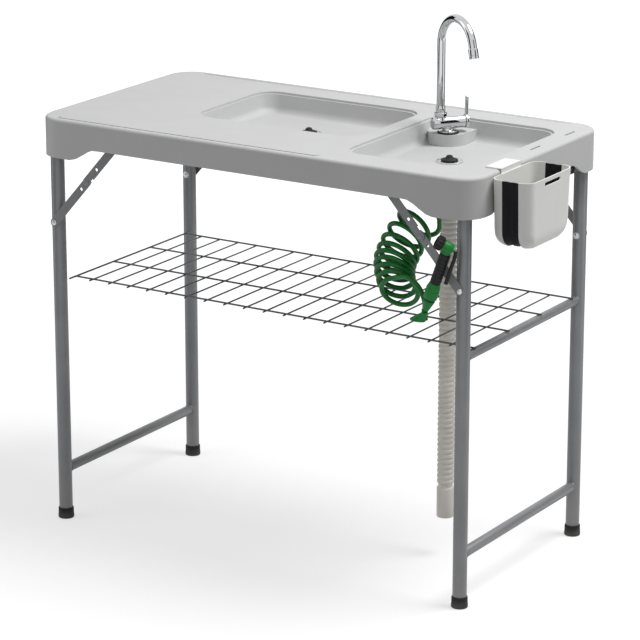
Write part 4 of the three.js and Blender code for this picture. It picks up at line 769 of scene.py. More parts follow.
def loop_centre(share):
    """The middle of the loops along the coil's route, on a smooth curve through its points."""
    along = share * (len(COIL_ROUTE) - 1)
    index = min(int(along), len(COIL_ROUTE) - 2)
    points = [Vector(point) for point in COIL_ROUTE]
    p0 = points[index - 1] if index > 0 else points[0] * 2 - points[1]
    p3 = points[index + 2] if index + 2 < len(points) else points[-1] * 2 - points[-2]
    p1, p2, t = points[index], points[index + 1], along - index
    bend = (p0 * 2 - p1 * 5 + p2 * 4 - p3) * t * t + (p1 * 3 - p0 - p2 * 3 + p3) * t * t * t
    return (p1 * 2 + (p2 - p0) * t + bend) / 2


def coil_point(share):
    """A point of the hose's centre line in the coil, from 0 at its top to 1 at its foot."""
    first, second, between = (0, 1, share * 2) if share < 0.5 else (1, 2, share * 2 - 1)
    axis = COIL_AXES[first].lerp(COIL_AXES[second], between).normalized()
    across = Vector((0, 1, 0)).cross(axis).normalized()
    along = axis.cross(across)
    turn = COIL_START - 2 * math.pi * COIL_LOOPS * share
    return loop_centre(share) + (across * math.cos(turn) + along * math.sin(turn)) * COIL_RADIUS


coil_count = round(COIL_LOOPS * 24)
coil = [coil_point(i / coil_count) for i in range(coil_count + 1)]
coil_first = coil[0] + (coil[0] - coil[1]).normalized() * CORD_RADIUS * 2
coil_last = coil[-1] + (coil[-1] - coil[-2]).normalized() * CORD_RADIUS * 2
hose_points = [HOSE_START, HOSE_START - Vector((0, 0, CORD_RADIUS * 2))]
hose_points += [Vector(point) for point in LEAD_ROUTE] + [coil_first] + coil + [coil_last]
hose_points += [Vector(point) for point in TAIL_ROUTE]
hose_points += [HOSE_END + Vector((0, 0, CORD_RADIUS * 2)), HOSE_END]
hose_line = smooth_line([at(*point) for point in hose_points])

# %% Hose
green_hose = tube("green_hose", hose_line, CORD_RADIUS, roundness=4)
dress(green_hose, "stand_top", ["hose_lead", "hose_coil", "hose_tail"], HOSE_GREEN)
print("green hose:", dressed["green_hose"], "faces")

# %% [markdown]
# ## The worktop
# The top is one blow-moulded shell: a flat slab with a deep skirt that drops lower at its four
# rounded corners, two basins pressed into it, a raised deck for the faucet, a rear bead and small
# slots. It could be one hand-built mesh, but its parts meet in so many corners that solid pieces,
# joined and cut, are quicker and stay clean. So each hollow is a block of its own, and the shell
# is carved with them.

# %% Sizes of the worktop
TOP_HALF_LENGTH, TOP_HALF_DEPTH, TOP_HEIGHT = 535.0, 281.0, 910.0
TOP_CORNER, SKIRT_WALL, LOBE_DROP, SKIRT_DROP = 60.0, 6.5, 85.0, 57.0
FLOOR, PAN_BOTTOM, DECK = 865.0, 861.0, 890.0
SLAB, SHOULDER, LONG_LOBE, END_LOBE, TOP_EDGE_ROUND = 18.0, 65.0, 91.0, 76.0, 7.0
LEDGE_DROP, LEDGE_WIDTH = 4.5, 6.0
BASIN_CORNER, BASIN_DRAFT, BASIN_FLOOR_ROUND, PAN_WALL = 46.0, 6.0, 15.0, 4.0
LEFT_BASIN = (-257.0, 150.0, -92.0, 196.0)
RIGHT_BASIN = (186.0, 480.0, -205.0, 196.0)
LEFT_DRAIN, RIGHT_DRAIN = (-53.5, 52.0), (325.0, -4.5)


def relief(name, half_length, lobe, along_x):
    """A block that lifts a skirt between its two corner lobes, with a soft shoulder at each end."""
    foot, crown = half_length - lobe, half_length - lobe - SHOULDER
    high, low = TOP_HEIGHT - SKIRT_DROP, TOP_HEIGHT - LOBE_DROP
    piece = start("grid", name, x_subdivisions=60, y_subdivisions=1, size=1)
    piece.scale = (2 * foot * MM, 1 * MM, 1)
    settle(piece)
    for vertex in piece.data.vertices:
        reach = abs(vertex.co.x) / MM
        share = min(max((foot - reach) / (foot - crown), 0), 1)
        rise = low + (high - low) * share * share * (3 - 2 * share)
        vertex.co = (vertex.co.x, -0.5, (rise if vertex.co.y > 0 else low - 10) * MM)
    edit(piece)
    pick_all()
    bpy.ops.mesh.extrude_region_move(TRANSFORM_OT_translate={"value": (0, 1.4, 0)})
    leave_edit()
    piece.rotation_euler = (0, 0, 0 if along_x else math.pi / 2)
    piece.location = at(0, 0, 0) + (Vector((0, -0.2, 0)) if along_x else Vector((0.2, 0, 0)))
    return tidy_mesh(settle(piece))


def basin_block(name, basin, wall, top):
    """A basin's hollow, or with a wall the pan round it: rim, ledge, leaning sides, round floor."""
    left, right, front, rear = basin
    left, right, front, rear = left - wall, right + wall, front - wall, rear + wall
    piece = sheet(name, left, right, front, rear, top, BASIN_CORNER + wall, 14)
    ledge = TOP_HEIGHT - LEDGE_DROP - wall
    pull(ledge - top)
    bpy.ops.mesh.inset(thickness=LEDGE_WIDTH * MM)
    middle = at((left + right) / 2, (front + rear) / 2, 0)
    pull(FLOOR - wall - ledge)
    width, depth = right - left - 2 * LEDGE_WIDTH, rear - front - 2 * LEDGE_WIDTH
    resize_about(middle, 1 - 2 * BASIN_DRAFT / width, 1 - 2 * BASIN_DRAFT / depth)
    bpy.ops.mesh.region_to_loop()
    bpy.ops.mesh.bevel(offset=BASIN_FLOOR_ROUND * MM, segments=8, affect="EDGES")
    leave_edit()
    return tidy_mesh(piece)


print("worktop sizes set")

# %% Carve the shell
outline = (-TOP_HALF_LENGTH, TOP_HALF_LENGTH, -TOP_HALF_DEPTH, TOP_HALF_DEPTH)
worktop = plate("worktop_shell", *outline, TOP_HEIGHT - LOBE_DROP, TOP_HEIGHT, TOP_CORNER, 18)
edit(worktop)
top_level = TOP_HEIGHT * MM - 0.0005
pick_edges(worktop, lambda a, b: a.z > top_level and b.z > top_level)
bpy.ops.mesh.bevel(offset=TOP_EDGE_ROUND * MM, segments=6, affect="EDGES")
leave_edit()
inside = [side - math.copysign(SKIRT_WALL, side) for side in outline]
room_foot, room_roof = TOP_HEIGHT - LOBE_DROP - 5, TOP_HEIGHT - SLAB
carve(worktop, plate("room", *inside, room_foot, room_roof, TOP_CORNER - SKIRT_WALL, 18))
carve(worktop, relief("long_relief", TOP_HALF_LENGTH, LONG_LOBE, True))
carve(worktop, relief("end_relief", TOP_HALF_DEPTH, END_LOBE, False))
for number, basin in enumerate((LEFT_BASIN, RIGHT_BASIN)):
    pan = basin_block("pan_%d" % number, basin, PAN_WALL, TOP_HEIGHT - PAN_WALL)
    carve(worktop, pan, "UNION")
for number, basin in enumerate((LEFT_BASIN, RIGHT_BASIN)):
    carve(worktop, basin_block("hollow_%d" % number, basin, 0, TOP_HEIGHT + 2))
print("worktop shell:", len(worktop.data.polygons), "faces")

# %% [markdown]
# The faucet stands on a deck in the rear left corner of the right basin. It is a plate whose
# front is a half circle, so both front corners are rounded by half its width. It is joined on,
# and hollow below, as the moulding is.


# %% Faucet deck, drain holes and slots
DECK_MIDDLE, DECK_RADIUS, DECK_WALL, DECK_ROOF = Vector((238, 143, 0)), 44.0, 9.0, 5.0
DRAIN_HOLE, SHANK_HOLE = 16.0, 9.8
SLOT_LEFT, SLOT_RIGHT, SLOT_HALF, SLOT_PITCH, FIRST_SLOT = 503.4, 508.6, 21.0, 151.0, 181.0
RULER_ENDS, RULER_FRONT, RULER_REAR, RULER_DEPTH, TICK_DEPTH = (-483, 165), -268.2, -263.4, 4.2, 2.2
BEAD_HALF_LENGTH, BEAD_Y, BEAD_Z, BEAD_RADIUS = 465.0, 264.0, 906.5, 6.0
TICK_HALF, TICK_FRONT, TICK_REAR, SLOT_DEPTH, OVERRUN = 1.6, -266.8, -256.0, 14.0, 2.0


def deck_block(name, shrink, bottom, top):
    """The deck's plate, with its front drawn as a half circle."""
    radius = DECK_RADIUS - shrink
    left, right = DECK_MIDDLE.x - radius, DECK_MIDDLE.x + radius
    front, rear = DECK_MIDDLE.y - radius, RIGHT_BASIN[3] - 3 - shrink
    piece = sheet(name, left, right, front, rear, bottom)
    bpy.ops.mesh.select_all(action="DESELECT")
    shape = bmesh.from_edit_mesh(piece.data)
    for vertex in shape.verts:
        vertex.select = vertex.co.y < at(*DECK_MIDDLE).y
    bmesh.update_edit_mesh(piece.data)
    bpy.ops.mesh.bevel(offset=(radius - 0.05) * MM, segments=20, affect="VERTICES")
    pick_all()
    pull(top - bottom)
    leave_edit()
    return tidy_mesh(piece)


carve(worktop, deck_block("deck", 0, PAN_BOTTOM + 1, DECK), "UNION")
carve(worktop, deck_block("deck_room", DECK_WALL, PAN_BOTTOM - 6, DECK - DECK_ROOF))
for name, x, y, low, high, radius in (
    ("left_hole", *LEFT_DRAIN, PAN_BOTTOM - 5, FLOOR + 5, DRAIN_HOLE),
    ("right_hole", *RIGHT_DRAIN, PAN_BOTTOM - 5, FLOOR + 5, DRAIN_HOLE),
    ("shank_hole", FAUCET.x, FAUCET.y, PAN_BOTTOM, DECK + 5, SHANK_HOLE),
):
    hole = turned(name, [(radius, low), (radius, high)], 40)
    carve(worktop, stood(hole, at(x, y, 0)))
above = TOP_HEIGHT + OVERRUN
for number in range(3):
    y = FIRST_SLOT - SLOT_PITCH * number
    sides = (SLOT_LEFT, SLOT_RIGHT, y - SLOT_HALF, y + SLOT_HALF)
    carve(worktop, plate("slot_%d" % number, *sides, TOP_HEIGHT - SLOT_DEPTH, above, 2.5, 5))
soften(worktop, 1.1, 2, 30)
sides = (*RULER_ENDS, RULER_FRONT, RULER_REAR)
carve(worktop, plate("ruler", *sides, TOP_HEIGHT - RULER_DEPTH, above))
for x in RULER_ENDS:
    sides = (x - TICK_HALF, x + TICK_HALF, TICK_FRONT, TICK_REAR)
    carve(worktop, plate("tick", *sides, TOP_HEIGHT - TICK_DEPTH, above))
even_shading(worktop, 30)
bead_ends = [at(x, BEAD_Y, BEAD_Z) for x in (-BEAD_HALF_LENGTH, BEAD_HALF_LENGTH)]
bead = rounded_bar("bead", *bead_ends, BEAD_RADIUS, 24, 3)
worktop = joined("worktop_shell", [worktop, bead])
dress(worktop, "stand_top", ["worktop"], WORKTOP_PLASTIC)
print("worktop:", dressed["worktop_shell"], "faces")

# %% [markdown]
# ## The leg frames
# Each end has two steel tubes in a grey powder coat, a hinge bar at the top and a thinner bar
# near the ground. The right frame also carries the rack on a bar of its own. Where one tube meets
# another, the weld leaves a small bead, so a thin ring is laid round each joint. The stays are
# bolted through the legs, with a domed head outside and a bright cap nut on its washer inside.

# %% Leg frames
LEG_X, LEG_Y, LEG_RADIUS = 500.0, 248.0, 14.9
BOLT_HEIGHT = 677.0
HINGE_BAR_RADIUS, FOOT_BAR_HEIGHT, FOOT_BAR_RADIUS = 12, 113, 11
RACK_BAR_HEIGHT, RACK_BAR_RADIUS = 533.5, 10
LEG_FOOT, LEG_ABOVE_HINGE, WELD_INSET = 5.3, 4, 1.2
ENDS, SIDES = (("left", -1), ("right", 1)), (("front", -1), ("rear", 1))
CORNERS = [(end, sign, side_name, side) for end, sign in ENDS for side_name, side in SIDES]
HINGE_HEIGHTS = {"left": 867.5, "right": 835.0}
LINK_PLANE_LOWER = LEG_Y + LEG_RADIUS + 0.3 + 1.25
LINK_PLANE_UPPER = LINK_PLANE_LOWER + 2.8


def weld(name, place, radius, bead_radius=1.6):
    """A thin ring of weld round a bar that runs front to rear."""
    ring = start(
        "torus",
        name,
        major_segments=32,
        minor_segments=8,
        major_radius=radius * MM,
        minor_radius=bead_radius * MM,
        location=place,
        rotation=(math.pi / 2, 0, 0),
    )
    return smooth(settle(ring))


def dome(name, foot, direction, radius, height):
    """A domed rivet or bolt head that stands on a foot."""
    rings = [(radius, 0), (radius, height * 0.25)]
    for angle in (0.4, 0.75, 1.05, 1.3, 1.48):
        rings.append((radius * math.cos(angle), height * (0.25 + 0.75 * math.sin(angle))))
    return smooth(stood(turned(name, rings, 20), foot, direction), 50)


def leg_frame(end, sign):
    """One end's frame with its bars, welds and bolts."""
    x, hinge_height = sign * LEG_X, HINGE_HEIGHTS[end]
    parts, bolts = [], []
    bars = [(hinge_height, HINGE_BAR_RADIUS), (FOOT_BAR_HEIGHT, FOOT_BAR_RADIUS)]
    if end == "right":
        bars.append((RACK_BAR_HEIGHT, RACK_BAR_RADIUS))
    for number, (height, radius) in enumerate(bars):
        tips = (at(x, -LEG_Y, height), at(x, LEG_Y, height))
        parts.append(rounded_bar(end + "_bar_%d" % number, *tips, radius, 28, 0.6))
        for side in (-1, 1):
            place = at(x, side * (LEG_Y - LEG_RADIUS + WELD_INSET), height)
            parts.append(weld(end + "_weld", place, radius))
    for side in (-1, 1):
        y = side * LEG_Y
        tips = (at(x, y, LEG_FOOT), at(x, y, hinge_height + LEG_ABOVE_HINGE))
        parts.append(rounded_bar(end + "_leg", *tips, LEG_RADIUS, 36, 1.2))
        out = Vector((0, side, 0))
        pin_end = at(x, side * (LINK_PLANE_LOWER + 1.6), BOLT_HEIGHT)
        pin_foot = at(x, side * (LEG_Y + 13), BOLT_HEIGHT)
        bolts.append(rounded_bar(end + "_pin", pin_foot, pin_end, 3, 16, 0.2))
        bolts.append(dome(end + "_head", pin_end, out, 6.2, 1.7))
        inner = at(x, side * (LEG_Y - LEG_RADIUS + 1.0), BOLT_HEIGHT)
        washer = turned(end + "_washer", [(7.4, 0), (7.4, 1.3), (6.9, 1.7)], 28)
        bolts.append(smooth(stood(washer, inner, -out)))
        bolts.append(dome(end + "_nut", inner - out * 1.7 * MM, -out, 5.0, 3.0))
    return joined(end + "_legs_tube", parts), joined(end + "_stay_bolts", bolts)


for end, sign in ENDS:
    piece, bolts = leg_frame(end, sign)
    dress(piece, end + "_legs", [end + "_leg_frame"], POWDER_COAT)
    dress(bolts, end + "_legs", [], ZINC)
    print(end, "leg frame:", dressed[piece.name], "faces")

# %% [markdown]
# ## Feet
# A soft black cap closes each tube: thicker at the sole, with a rounded shoulder and a small lip
# where the rubber hugs the steel. One cap is turned and copied to all four corners.

# %% Feet
foot_rings = [(15.5, 0), (16.9, 0.5), (17.5, 1.6), (17.6, 7), (17.3, 8.2), (17.1, 9)]
foot_rings += [(16.8, 21), (16.75, 22.6), (16.2, 23.7), (15.2, 24), (15.2, 6)]
foot = smooth(turned("foot_pattern", foot_rings, 40), 40)
for end, sign, side_name, side in CORNERS:
    base = end + "_" + side_name
    cap = copied(foot, base + "_cap", at(sign * LEG_X, side * LEG_Y, 0) / MM)
    dress(cap, end + "_legs", [base + "_foot"], FOOT_RUBBER)
bpy.data.objects.remove(foot)
print("feet:", len(CORNERS), "caps")

# %% [markdown]
# ## Folding stays
# Each stay is two flat steel links riveted in the middle, so that it folds. A link is a strip
# with round ends, a pivot hole and a spare hole. It starts as a plane along X, its corners are
# rounded by half its width, and it is pulled to its thickness. The upper link has a notch beside
# the knuckle that stops the fold. Links lie flat against the legs, so each is turned on edge and
# swung to its slope.

# %% Stays
STAY_TOP, STAY_BOLT = Vector((320.0, 0, 880.0)), Vector((LEG_X, 0, BOLT_HEIGHT))
LINK_LENGTH = (STAY_TOP - STAY_BOLT).length / 2
LINK_HALF, LINK_THICKNESS = 9.5, 2.5
UPPER_SPARE_HOLE, LOWER_SPARE_HOLE, NOTCH_BACK, NOTCH_SIZE = 41, 24, 14, Vector((9, 7, 8))
STAY_SLOPE = math.atan2(STAY_TOP.z - STAY_BOLT.z, STAY_BOLT.x - STAY_TOP.x)


def link_strip(name, notched, spare, rivet_side):
    """A flat link from its pivot along +X, on edge in the XZ plane, at the frame's origin."""
    middle = Vector((LINK_LENGTH / 2, 0, -LINK_THICKNESS / 2)) * MM
    piece = start("plane", name, size=1, location=middle)
    piece.scale = ((LINK_LENGTH + 2 * LINK_HALF) * MM, 2 * LINK_HALF * MM, 1)
    cornered(settle(piece), LINK_HALF - 0.05, 14)
    pull(LINK_THICKNESS)
    leave_edit()
    tidy_mesh(piece)
    for x, radius in ((0, 3.6), (LINK_LENGTH - spare, 3.5)):
        hole = turned("link_hole", [(radius, -5), (radius, 5)], 24)
        hole.location.x = x * MM
        carve(piece, settle(hole))
    if notched:
        notch_place = Vector((LINK_LENGTH - NOTCH_BACK, LINK_HALF, 0)) * MM
        notch = start("cube", "notch", size=1, location=notch_place)
        notch.scale = NOTCH_SIZE * MM
        carve(piece, settle(notch))
    soften(piece, 0.35, 2, 40)
    rivet_foot = Vector((LINK_LENGTH, 0, rivet_side * 1.2)) * MM
    rivet = dome("rivet", rivet_foot, (0, 0, rivet_side), 6.2, 1.8)
    piece = joined(name, [piece, rivet])
    piece.rotation_euler = (math.pi / 2, 0, 0)
    return settle(piece)


for end, sign, side_name, side in CORNERS:
    for level in ("upper", "lower"):
        name = "%s_%s_%s" % (end, side_name, level)
        if level == "upper":
            strip = link_strip(name + "_link_strip", True, UPPER_SPARE_HOLE, -side)
            place = at(sign * STAY_TOP.x, side * LINK_PLANE_UPPER, STAY_TOP.z)
            turn = STAY_SLOPE if sign > 0 else math.pi - STAY_SLOPE
        else:
            strip = link_strip(name + "_link_strip", False, LOWER_SPARE_HOLE, side)
            place = at(sign * STAY_BOLT.x, side * LINK_PLANE_LOWER, STAY_BOLT.z)
            turn = math.pi + STAY_SLOPE if sign > 0 else -STAY_SLOPE
        strip.matrix_world = Matrix.Translation(place) @ Matrix.Rotation(turn, 4, "Y")
        settle(strip)
        dress(strip, name + "_link", [name + "_stay"], POWDER_COAT)
print("stay links:", 2 * len(CORNERS))

# %% [markdown]
# ## Brackets and hinge blocks
# Under the top, an angle bracket holds each stay and a black moulded block holds each end of a
# hinge bar. They are plain blocks in the CAD model already, so each is a softened copy of its
# solid: the loose triangles are merged, flat faces are dissolved, and the edges are rounded.

# %% Parts under the worktop
def softened_copy(node_name, name, width, degrees):
    """A copy of a CAD solid with its flat faces merged and its edges rounded."""
    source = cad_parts[node_name]
    piece = bpy.data.objects.new(name, source.data.copy())
    bpy.context.scene.collection.objects.link(piece)
    edit(piece)
    pick_all()
    bpy.ops.mesh.remove_doubles(threshold=0.00002)
    bpy.ops.mesh.dissolve_limited(angle_limit=math.radians(2))
    leave_edit()
    return soften(piece, width, 2, degrees)


for end, _, side_name, _ in CORNERS:
    base = end + "_" + side_name
    bracket = softened_copy(base + "_stay_bracket", base + "_bracket_angle", 0.4, 35)
    dress(bracket, "stand_top", [base + "_stay_bracket"], POWDER_COAT)
    block = softened_copy(base + "_hinge_block", base + "_hinge_holder", 0.8, 35)
    dress(block, "stand_top", [base + "_hinge_block"], BLACK_PLASTIC)
print("brackets and hinge holders:", 2 * len(CORNERS))

# %% [markdown]
# ## The wire rack
# Four long wires lie on the leg frames' bars, and nineteen cross wires are welded under them. A
# wire is a thin bar with a rounded end. One long and one cross wire are made and then copied at
# their pitch. At each crossing the weld flattens the wires into each other a little, so they
# overlap by half a millimetre.

# %% Rack
LONG_RADIUS, CROSS_RADIUS, WELD_SINK = 2.0, 1.75, 0.6
LONG_COUNT, LONG_SPAN, LONG_LEFT, LONG_RIGHT = 4, 418, -488, 509
CROSS_COUNT, CROSS_PITCH, CROSS_HALF, END_WIRE_X, END_WIRE_HALF = 19, 49.8, 215, -487, 232.8
LONG_Z = RACK_BAR_HEIGHT + RACK_BAR_RADIUS + 0.3 + LONG_RADIUS
CROSS_Z = LONG_Z - LONG_RADIUS - CROSS_RADIUS + WELD_SINK
wires = []
tips = (at(LONG_LEFT, 0, LONG_Z), at(LONG_RIGHT, 0, LONG_Z))
long_wire = rounded_bar("long_wire", *tips, LONG_RADIUS, 12, 0.8)
for number in range(LONG_COUNT):
    move = (0, LONG_SPAN * (number / (LONG_COUNT - 1) - 0.5), 0)
    wires.append(copied(long_wire, "long_%d" % number, move))
tips = (at(0, -CROSS_HALF, CROSS_Z), at(0, CROSS_HALF, CROSS_Z))
cross_wire = rounded_bar("cross_wire", *tips, CROSS_RADIUS, 12, 0.7)
for number in range(CROSS_COUNT):
    move = (RIGHT_DRAIN[0] + (number - 15.5) * CROSS_PITCH, 0, 0)
    wires.append(copied(cross_wire, "cross_%d" % number, move))
tips = (at(END_WIRE_X, -END_WIRE_HALF, LONG_Z), at(END_WIRE_X, END_WIRE_HALF, LONG_Z))
wires.append(rounded_bar("end_wire", *tips, LONG_RADIUS, 12, 0.6))
for pattern in (long_wire, cross_wire):
    bpy.data.objects.remove(pattern)
rack = joined("rack_grid", wires)
dress(rack, "wire_rack", ["rack"], COATED_WIRE)
print("rack:", dressed["rack_grid"], "faces")

# %% [markdown]
# ## The faucet
# A chrome barrel lies on a short post, with a lever at its rear end and the gooseneck on top. The
# barrel and the post are turned and joined. The neck starts as a circle, is pulled straight up,
# and is then spun round the middle of its arch, which gives a bend of one true radius that a free
# curve would not.

# %% Faucet body
BODY_TURN = math.radians(53)
BODY_AXIS = Vector((math.cos(BODY_TURN), math.sin(BODY_TURN), 0))
AXIS_HEIGHT, NECK_HEIGHT, NECK_OFFSET = 913.0, 926.8, -17.5


def on_body(distance, height=AXIS_HEIGHT):
    """A place along the barrel's axis, from the middle of the faucet."""
    return at(FAUCET.x + BODY_AXIS.x * distance, FAUCET.y + BODY_AXIS.y * distance, height)


barrel_rings = [
    (9.5, -0.3), (11.6, 0.1), (12.9, 1.0), (13.5, 2.6), (13.5, 70.4), (13.1, 72), (12.2, 72.9),
    (9.5, 73),
]
barrel = stood(turned("barrel", barrel_rings, 48), on_body(-36.5), BODY_AXIS)
post_rings = [
    (20, 893.6), (20, 895.6), (18.6, 896.6), (13.4, 897.4), (12.2, 899), (12, 902), (12, 912)
]
post = stood(turned("post", post_rings, 48), at(FAUCET.x, FAUCET.y, 0))
shank = stood(turned("shank", [(9.5, 848), (9.5, 896)], 32), at(FAUCET.x, FAUCET.y, 0))
boss_rings = [(11.8, 913), (11.8, 925.5), (11.2, 926.4), (9.6, 926.5), (9.4, 918)]
boss = stood(turned("boss", boss_rings, 40), on_body(NECK_OFFSET, 0))
body = joined("faucet_barrel", [barrel, post, shank, boss])
smooth(body, 35)
dress(body, "stand_top", ["faucet_body"], CHROME)
gasket_rings = [
    (10, 890.3), (22.3, 890.3), (23, 891.2), (23, 892.4), (22.2, 893.3), (10, 893.3), (10, 890.3)
]
gasket = stood(turned("faucet_gasket_ring", gasket_rings, 48, True), at(FAUCET.x, FAUCET.y, 0))
dress(smooth(gasket, 40), "stand_top", ["faucet_gasket"], BLACK_RUBBER)


def hex_nut(name, radius, height, bore):
    """A six-sided nut with its corners rounded and a bore through it."""
    inner = radius - 1.2
    nut = turned(name, [(inner, 0), (radius, 1.2), (radius, height - 1.2), (inner, height)], 6)
    carve(nut, turned("nut_bore", [(bore, -2), (bore, height + 2)], 32))
    return soften(nut, 0.35, 2, 30)


backnut = stood(hex_nut("faucet_backnut_hex", 15, 7, 9.9), at(FAUCET.x, FAUCET.y, 877.7))
dress(backnut, "stand_top", ["faucet_backnut"], ZINC)
neck_place = on_body(NECK_OFFSET, NECK_HEIGHT)
neck_nut = stood(hex_nut("spout_nut_hex", 13.2, 10, 9.4), neck_place)
dress(neck_nut, "stand_top", ["spout_nut"], CHROME)
print("faucet body, gasket and nuts made")

# %% Gooseneck
SPOUT_RISE, SPOUT_BEND, SPOUT_RADIUS, SPOUT_SINK = 157.4, 61.0, 9.1, 8.7
ARCH, SPOUT_TURN = math.radians(165), math.radians(-28)
neck = start(
    "circle",
    "gooseneck",
    vertices=32,
    radius=SPOUT_RADIUS * MM,
    fill_type="NGON",
    location=(0, 0, -SPOUT_SINK * MM),
)
settle(neck)
edit(neck)
pick_all()
pull(SPOUT_RISE + SPOUT_SINK)
bend_middle = (SPOUT_BEND * MM, 0, SPOUT_RISE * MM)
bpy.ops.mesh.spin(steps=44, angle=-ARCH, center=bend_middle, axis=(0, 1, 0))
arch_way = Vector((math.sin(ARCH), 0, math.cos(ARCH)))
bpy.ops.mesh.extrude_region_move(TRANSFORM_OT_translate={"value": arch_way * 7 * MM})
leave_edit()
tidy_mesh(neck)
print("gooseneck reaches", [round(value / MM, 1) for value in neck.dimensions])
collar_rings = [
    (9.1, 10.3), (10.1, 10.3), (10.4, 11), (10.4, 22.4), (10.0, 23.3), (9.1, 23.3), (9.1, 10.3)
]
collar = turned("collar", collar_rings, 40, True)
neck = smooth(joined("gooseneck", [neck, collar]), 35)
neck_frame = Matrix.Translation(neck_place) @ Matrix.Rotation(SPOUT_TURN, 4, "Z")
neck.matrix_world = neck_frame
settle(neck)
dress(neck, "spout_neck", ["spout"], CHROME)
arch_end = Vector((SPOUT_BEND * (1 - math.cos(ARCH)), 0, SPOUT_RISE + SPOUT_BEND * math.sin(ARCH)))
arch_end += arch_way * 7.3
aerator_rings = [
    (9.2, 0), (10.3, 0.4), (10.6, 1.2), (10.6, 13.6), (10.1, 14.0), (10.1, 14.6), (10.6, 15.0),
    (10.6, 20.2), (10.2, 21), (8.4, 21), (8.0, 20.4), (8.0, 9),
]
aerator = turned("aerator_cup", aerator_rings, 40)
turn = arch_way.to_track_quat("Z", "Y").to_matrix().to_4x4()
aerator.matrix_world = neck_frame @ Matrix.Translation(arch_end * MM) @ turn
smooth(settle(aerator), 35)
dress(aerator, "spout_neck", ["spout_aerator"], CHROME)

# %% Lever
cap_rings = [(12.6, 0), (13.8, 0.3), (14.2, 1.0), (14.2, 7.2), (13.6, 8.5), (12.2, 9), (9, 9.1)]
cap = stood(turned("cap", cap_rings, 48), on_body(36.8), BODY_AXIS)
LEVER_LENGTH, LEVER_WIDTH = 54, 7
blade = start("cube", "blade", size=1, location=(0, 0, LEVER_LENGTH / 2 * MM))
blade.scale = (LEVER_WIDTH * MM, LEVER_WIDTH * MM, LEVER_LENGTH * MM)
settle(blade)
edit(blade)
pick_faces(blade, lambda middle, normal: normal.z > 0.9)
bpy.ops.transform.translate(value=(1 * MM, 0, 0))
leave_edit()
soften(blade, 2.4, 4, 30)
blade.matrix_world = Matrix.Translation(on_body(41.3)) @ Matrix.Rotation(BODY_TURN, 4, "Z")
settle(blade)
lever = smooth(joined("lever_handle", [cap, blade]), 35)
dress(lever, "water_lever", ["faucet_lever"], CHROME)
print("lever made")

# %% [markdown]
# ## Drains
# A steel ring lines each drain hole and runs down as a threaded tail. A black stopper with a cone
# for a knob sits in it. Rings like these are plain turned work. The thread is only seen from
# below, so a few grooves in the profile stand for it.

# %% Drains and stoppers
THREAD_TOP, THREAD_PITCH, THREAD_RADIUS, THREAD_ROOT = 850, 2.6, 15.6, 14.9
NUT_TOP, STOPPER_SEAT = 860.7, 867.2
flange_rings = [(12.5, 821), (15.0, 821)]
for step in reversed(range(11)):
    z = THREAD_TOP - step * THREAD_PITCH
    flange_rings += [(THREAD_ROOT, z - THREAD_PITCH / 2), (THREAD_RADIUS, z)]
flange_rings += [(THREAD_RADIUS, 865.3), (28.2, 865.3), (28.5, 865.7), (28.2, 866.4)]
flange_rings += [(27.2, 866.9), (21.0, 866.9), (19.6, 866.7), (12.9, 865.5)]
flange_rings += [(12.5, 865.0), (12.5, 821)]
ring = smooth(turned("drain_ring", flange_rings, 64, True), 40)
nut_rings = [(15.9, -9), (21.4, -9), (22, -8.4), (22, -0.6), (21.4, 0), (15.9, 0), (15.9, -9)]
nut = turned("drain_nut_ring", nut_rings, 40, True)
lug = plate("lug", -26, 26, -4, 4, -8.5, -0.5, 2)
lug.location = -at(0, 0, 0)
settle(lug)
carve(lug, turned("lug_bore", [(15.9, -20), (15.9, 10)], 40))
nut = smooth(joined("drain_nut_ring", [nut, lug]), 40)
stopper_rings = [
    (11.2, -9), (11.4, -8.2), (11.8, 0), (17.4, 0), (17.8, 0.5), (17.8, 2.2), (17.0, 3.2)
]
stopper_rings += [
    (13.6, 4.0), (10.6, 5.0), (8.2, 6.6), (7.0, 8.4), (6.4, 9.8), (5.2, 11.0), (3.2, 11.6)
]
stopper = smooth(turned("stopper_plug", stopper_rings, 40), 45)
for side_name, (x, y) in (("left", LEFT_DRAIN), ("right", RIGHT_DRAIN)):
    lining = copied(ring, side_name + "_drain_lining", at(x, y, 0) / MM)
    dress(lining, "stand_top", [side_name + "_drain_flange"], DRAIN_STEEL)
    clamp = copied(nut, side_name + "_drain_clamp", at(x, y, NUT_TOP) / MM)
    dress(clamp, "stand_top", [side_name + "_drain_nut"], BLACK_PLASTIC)
    knob = copied(stopper, side_name + "_stopper_knob", at(x, y, STOPPER_SEAT) / MM)
    dress(knob, side_name + "_plug", [side_name + "_stopper"], BLACK_RUBBER)
for pattern in (ring, nut, stopper):
    bpy.data.objects.remove(pattern)
print("drains and stoppers made")
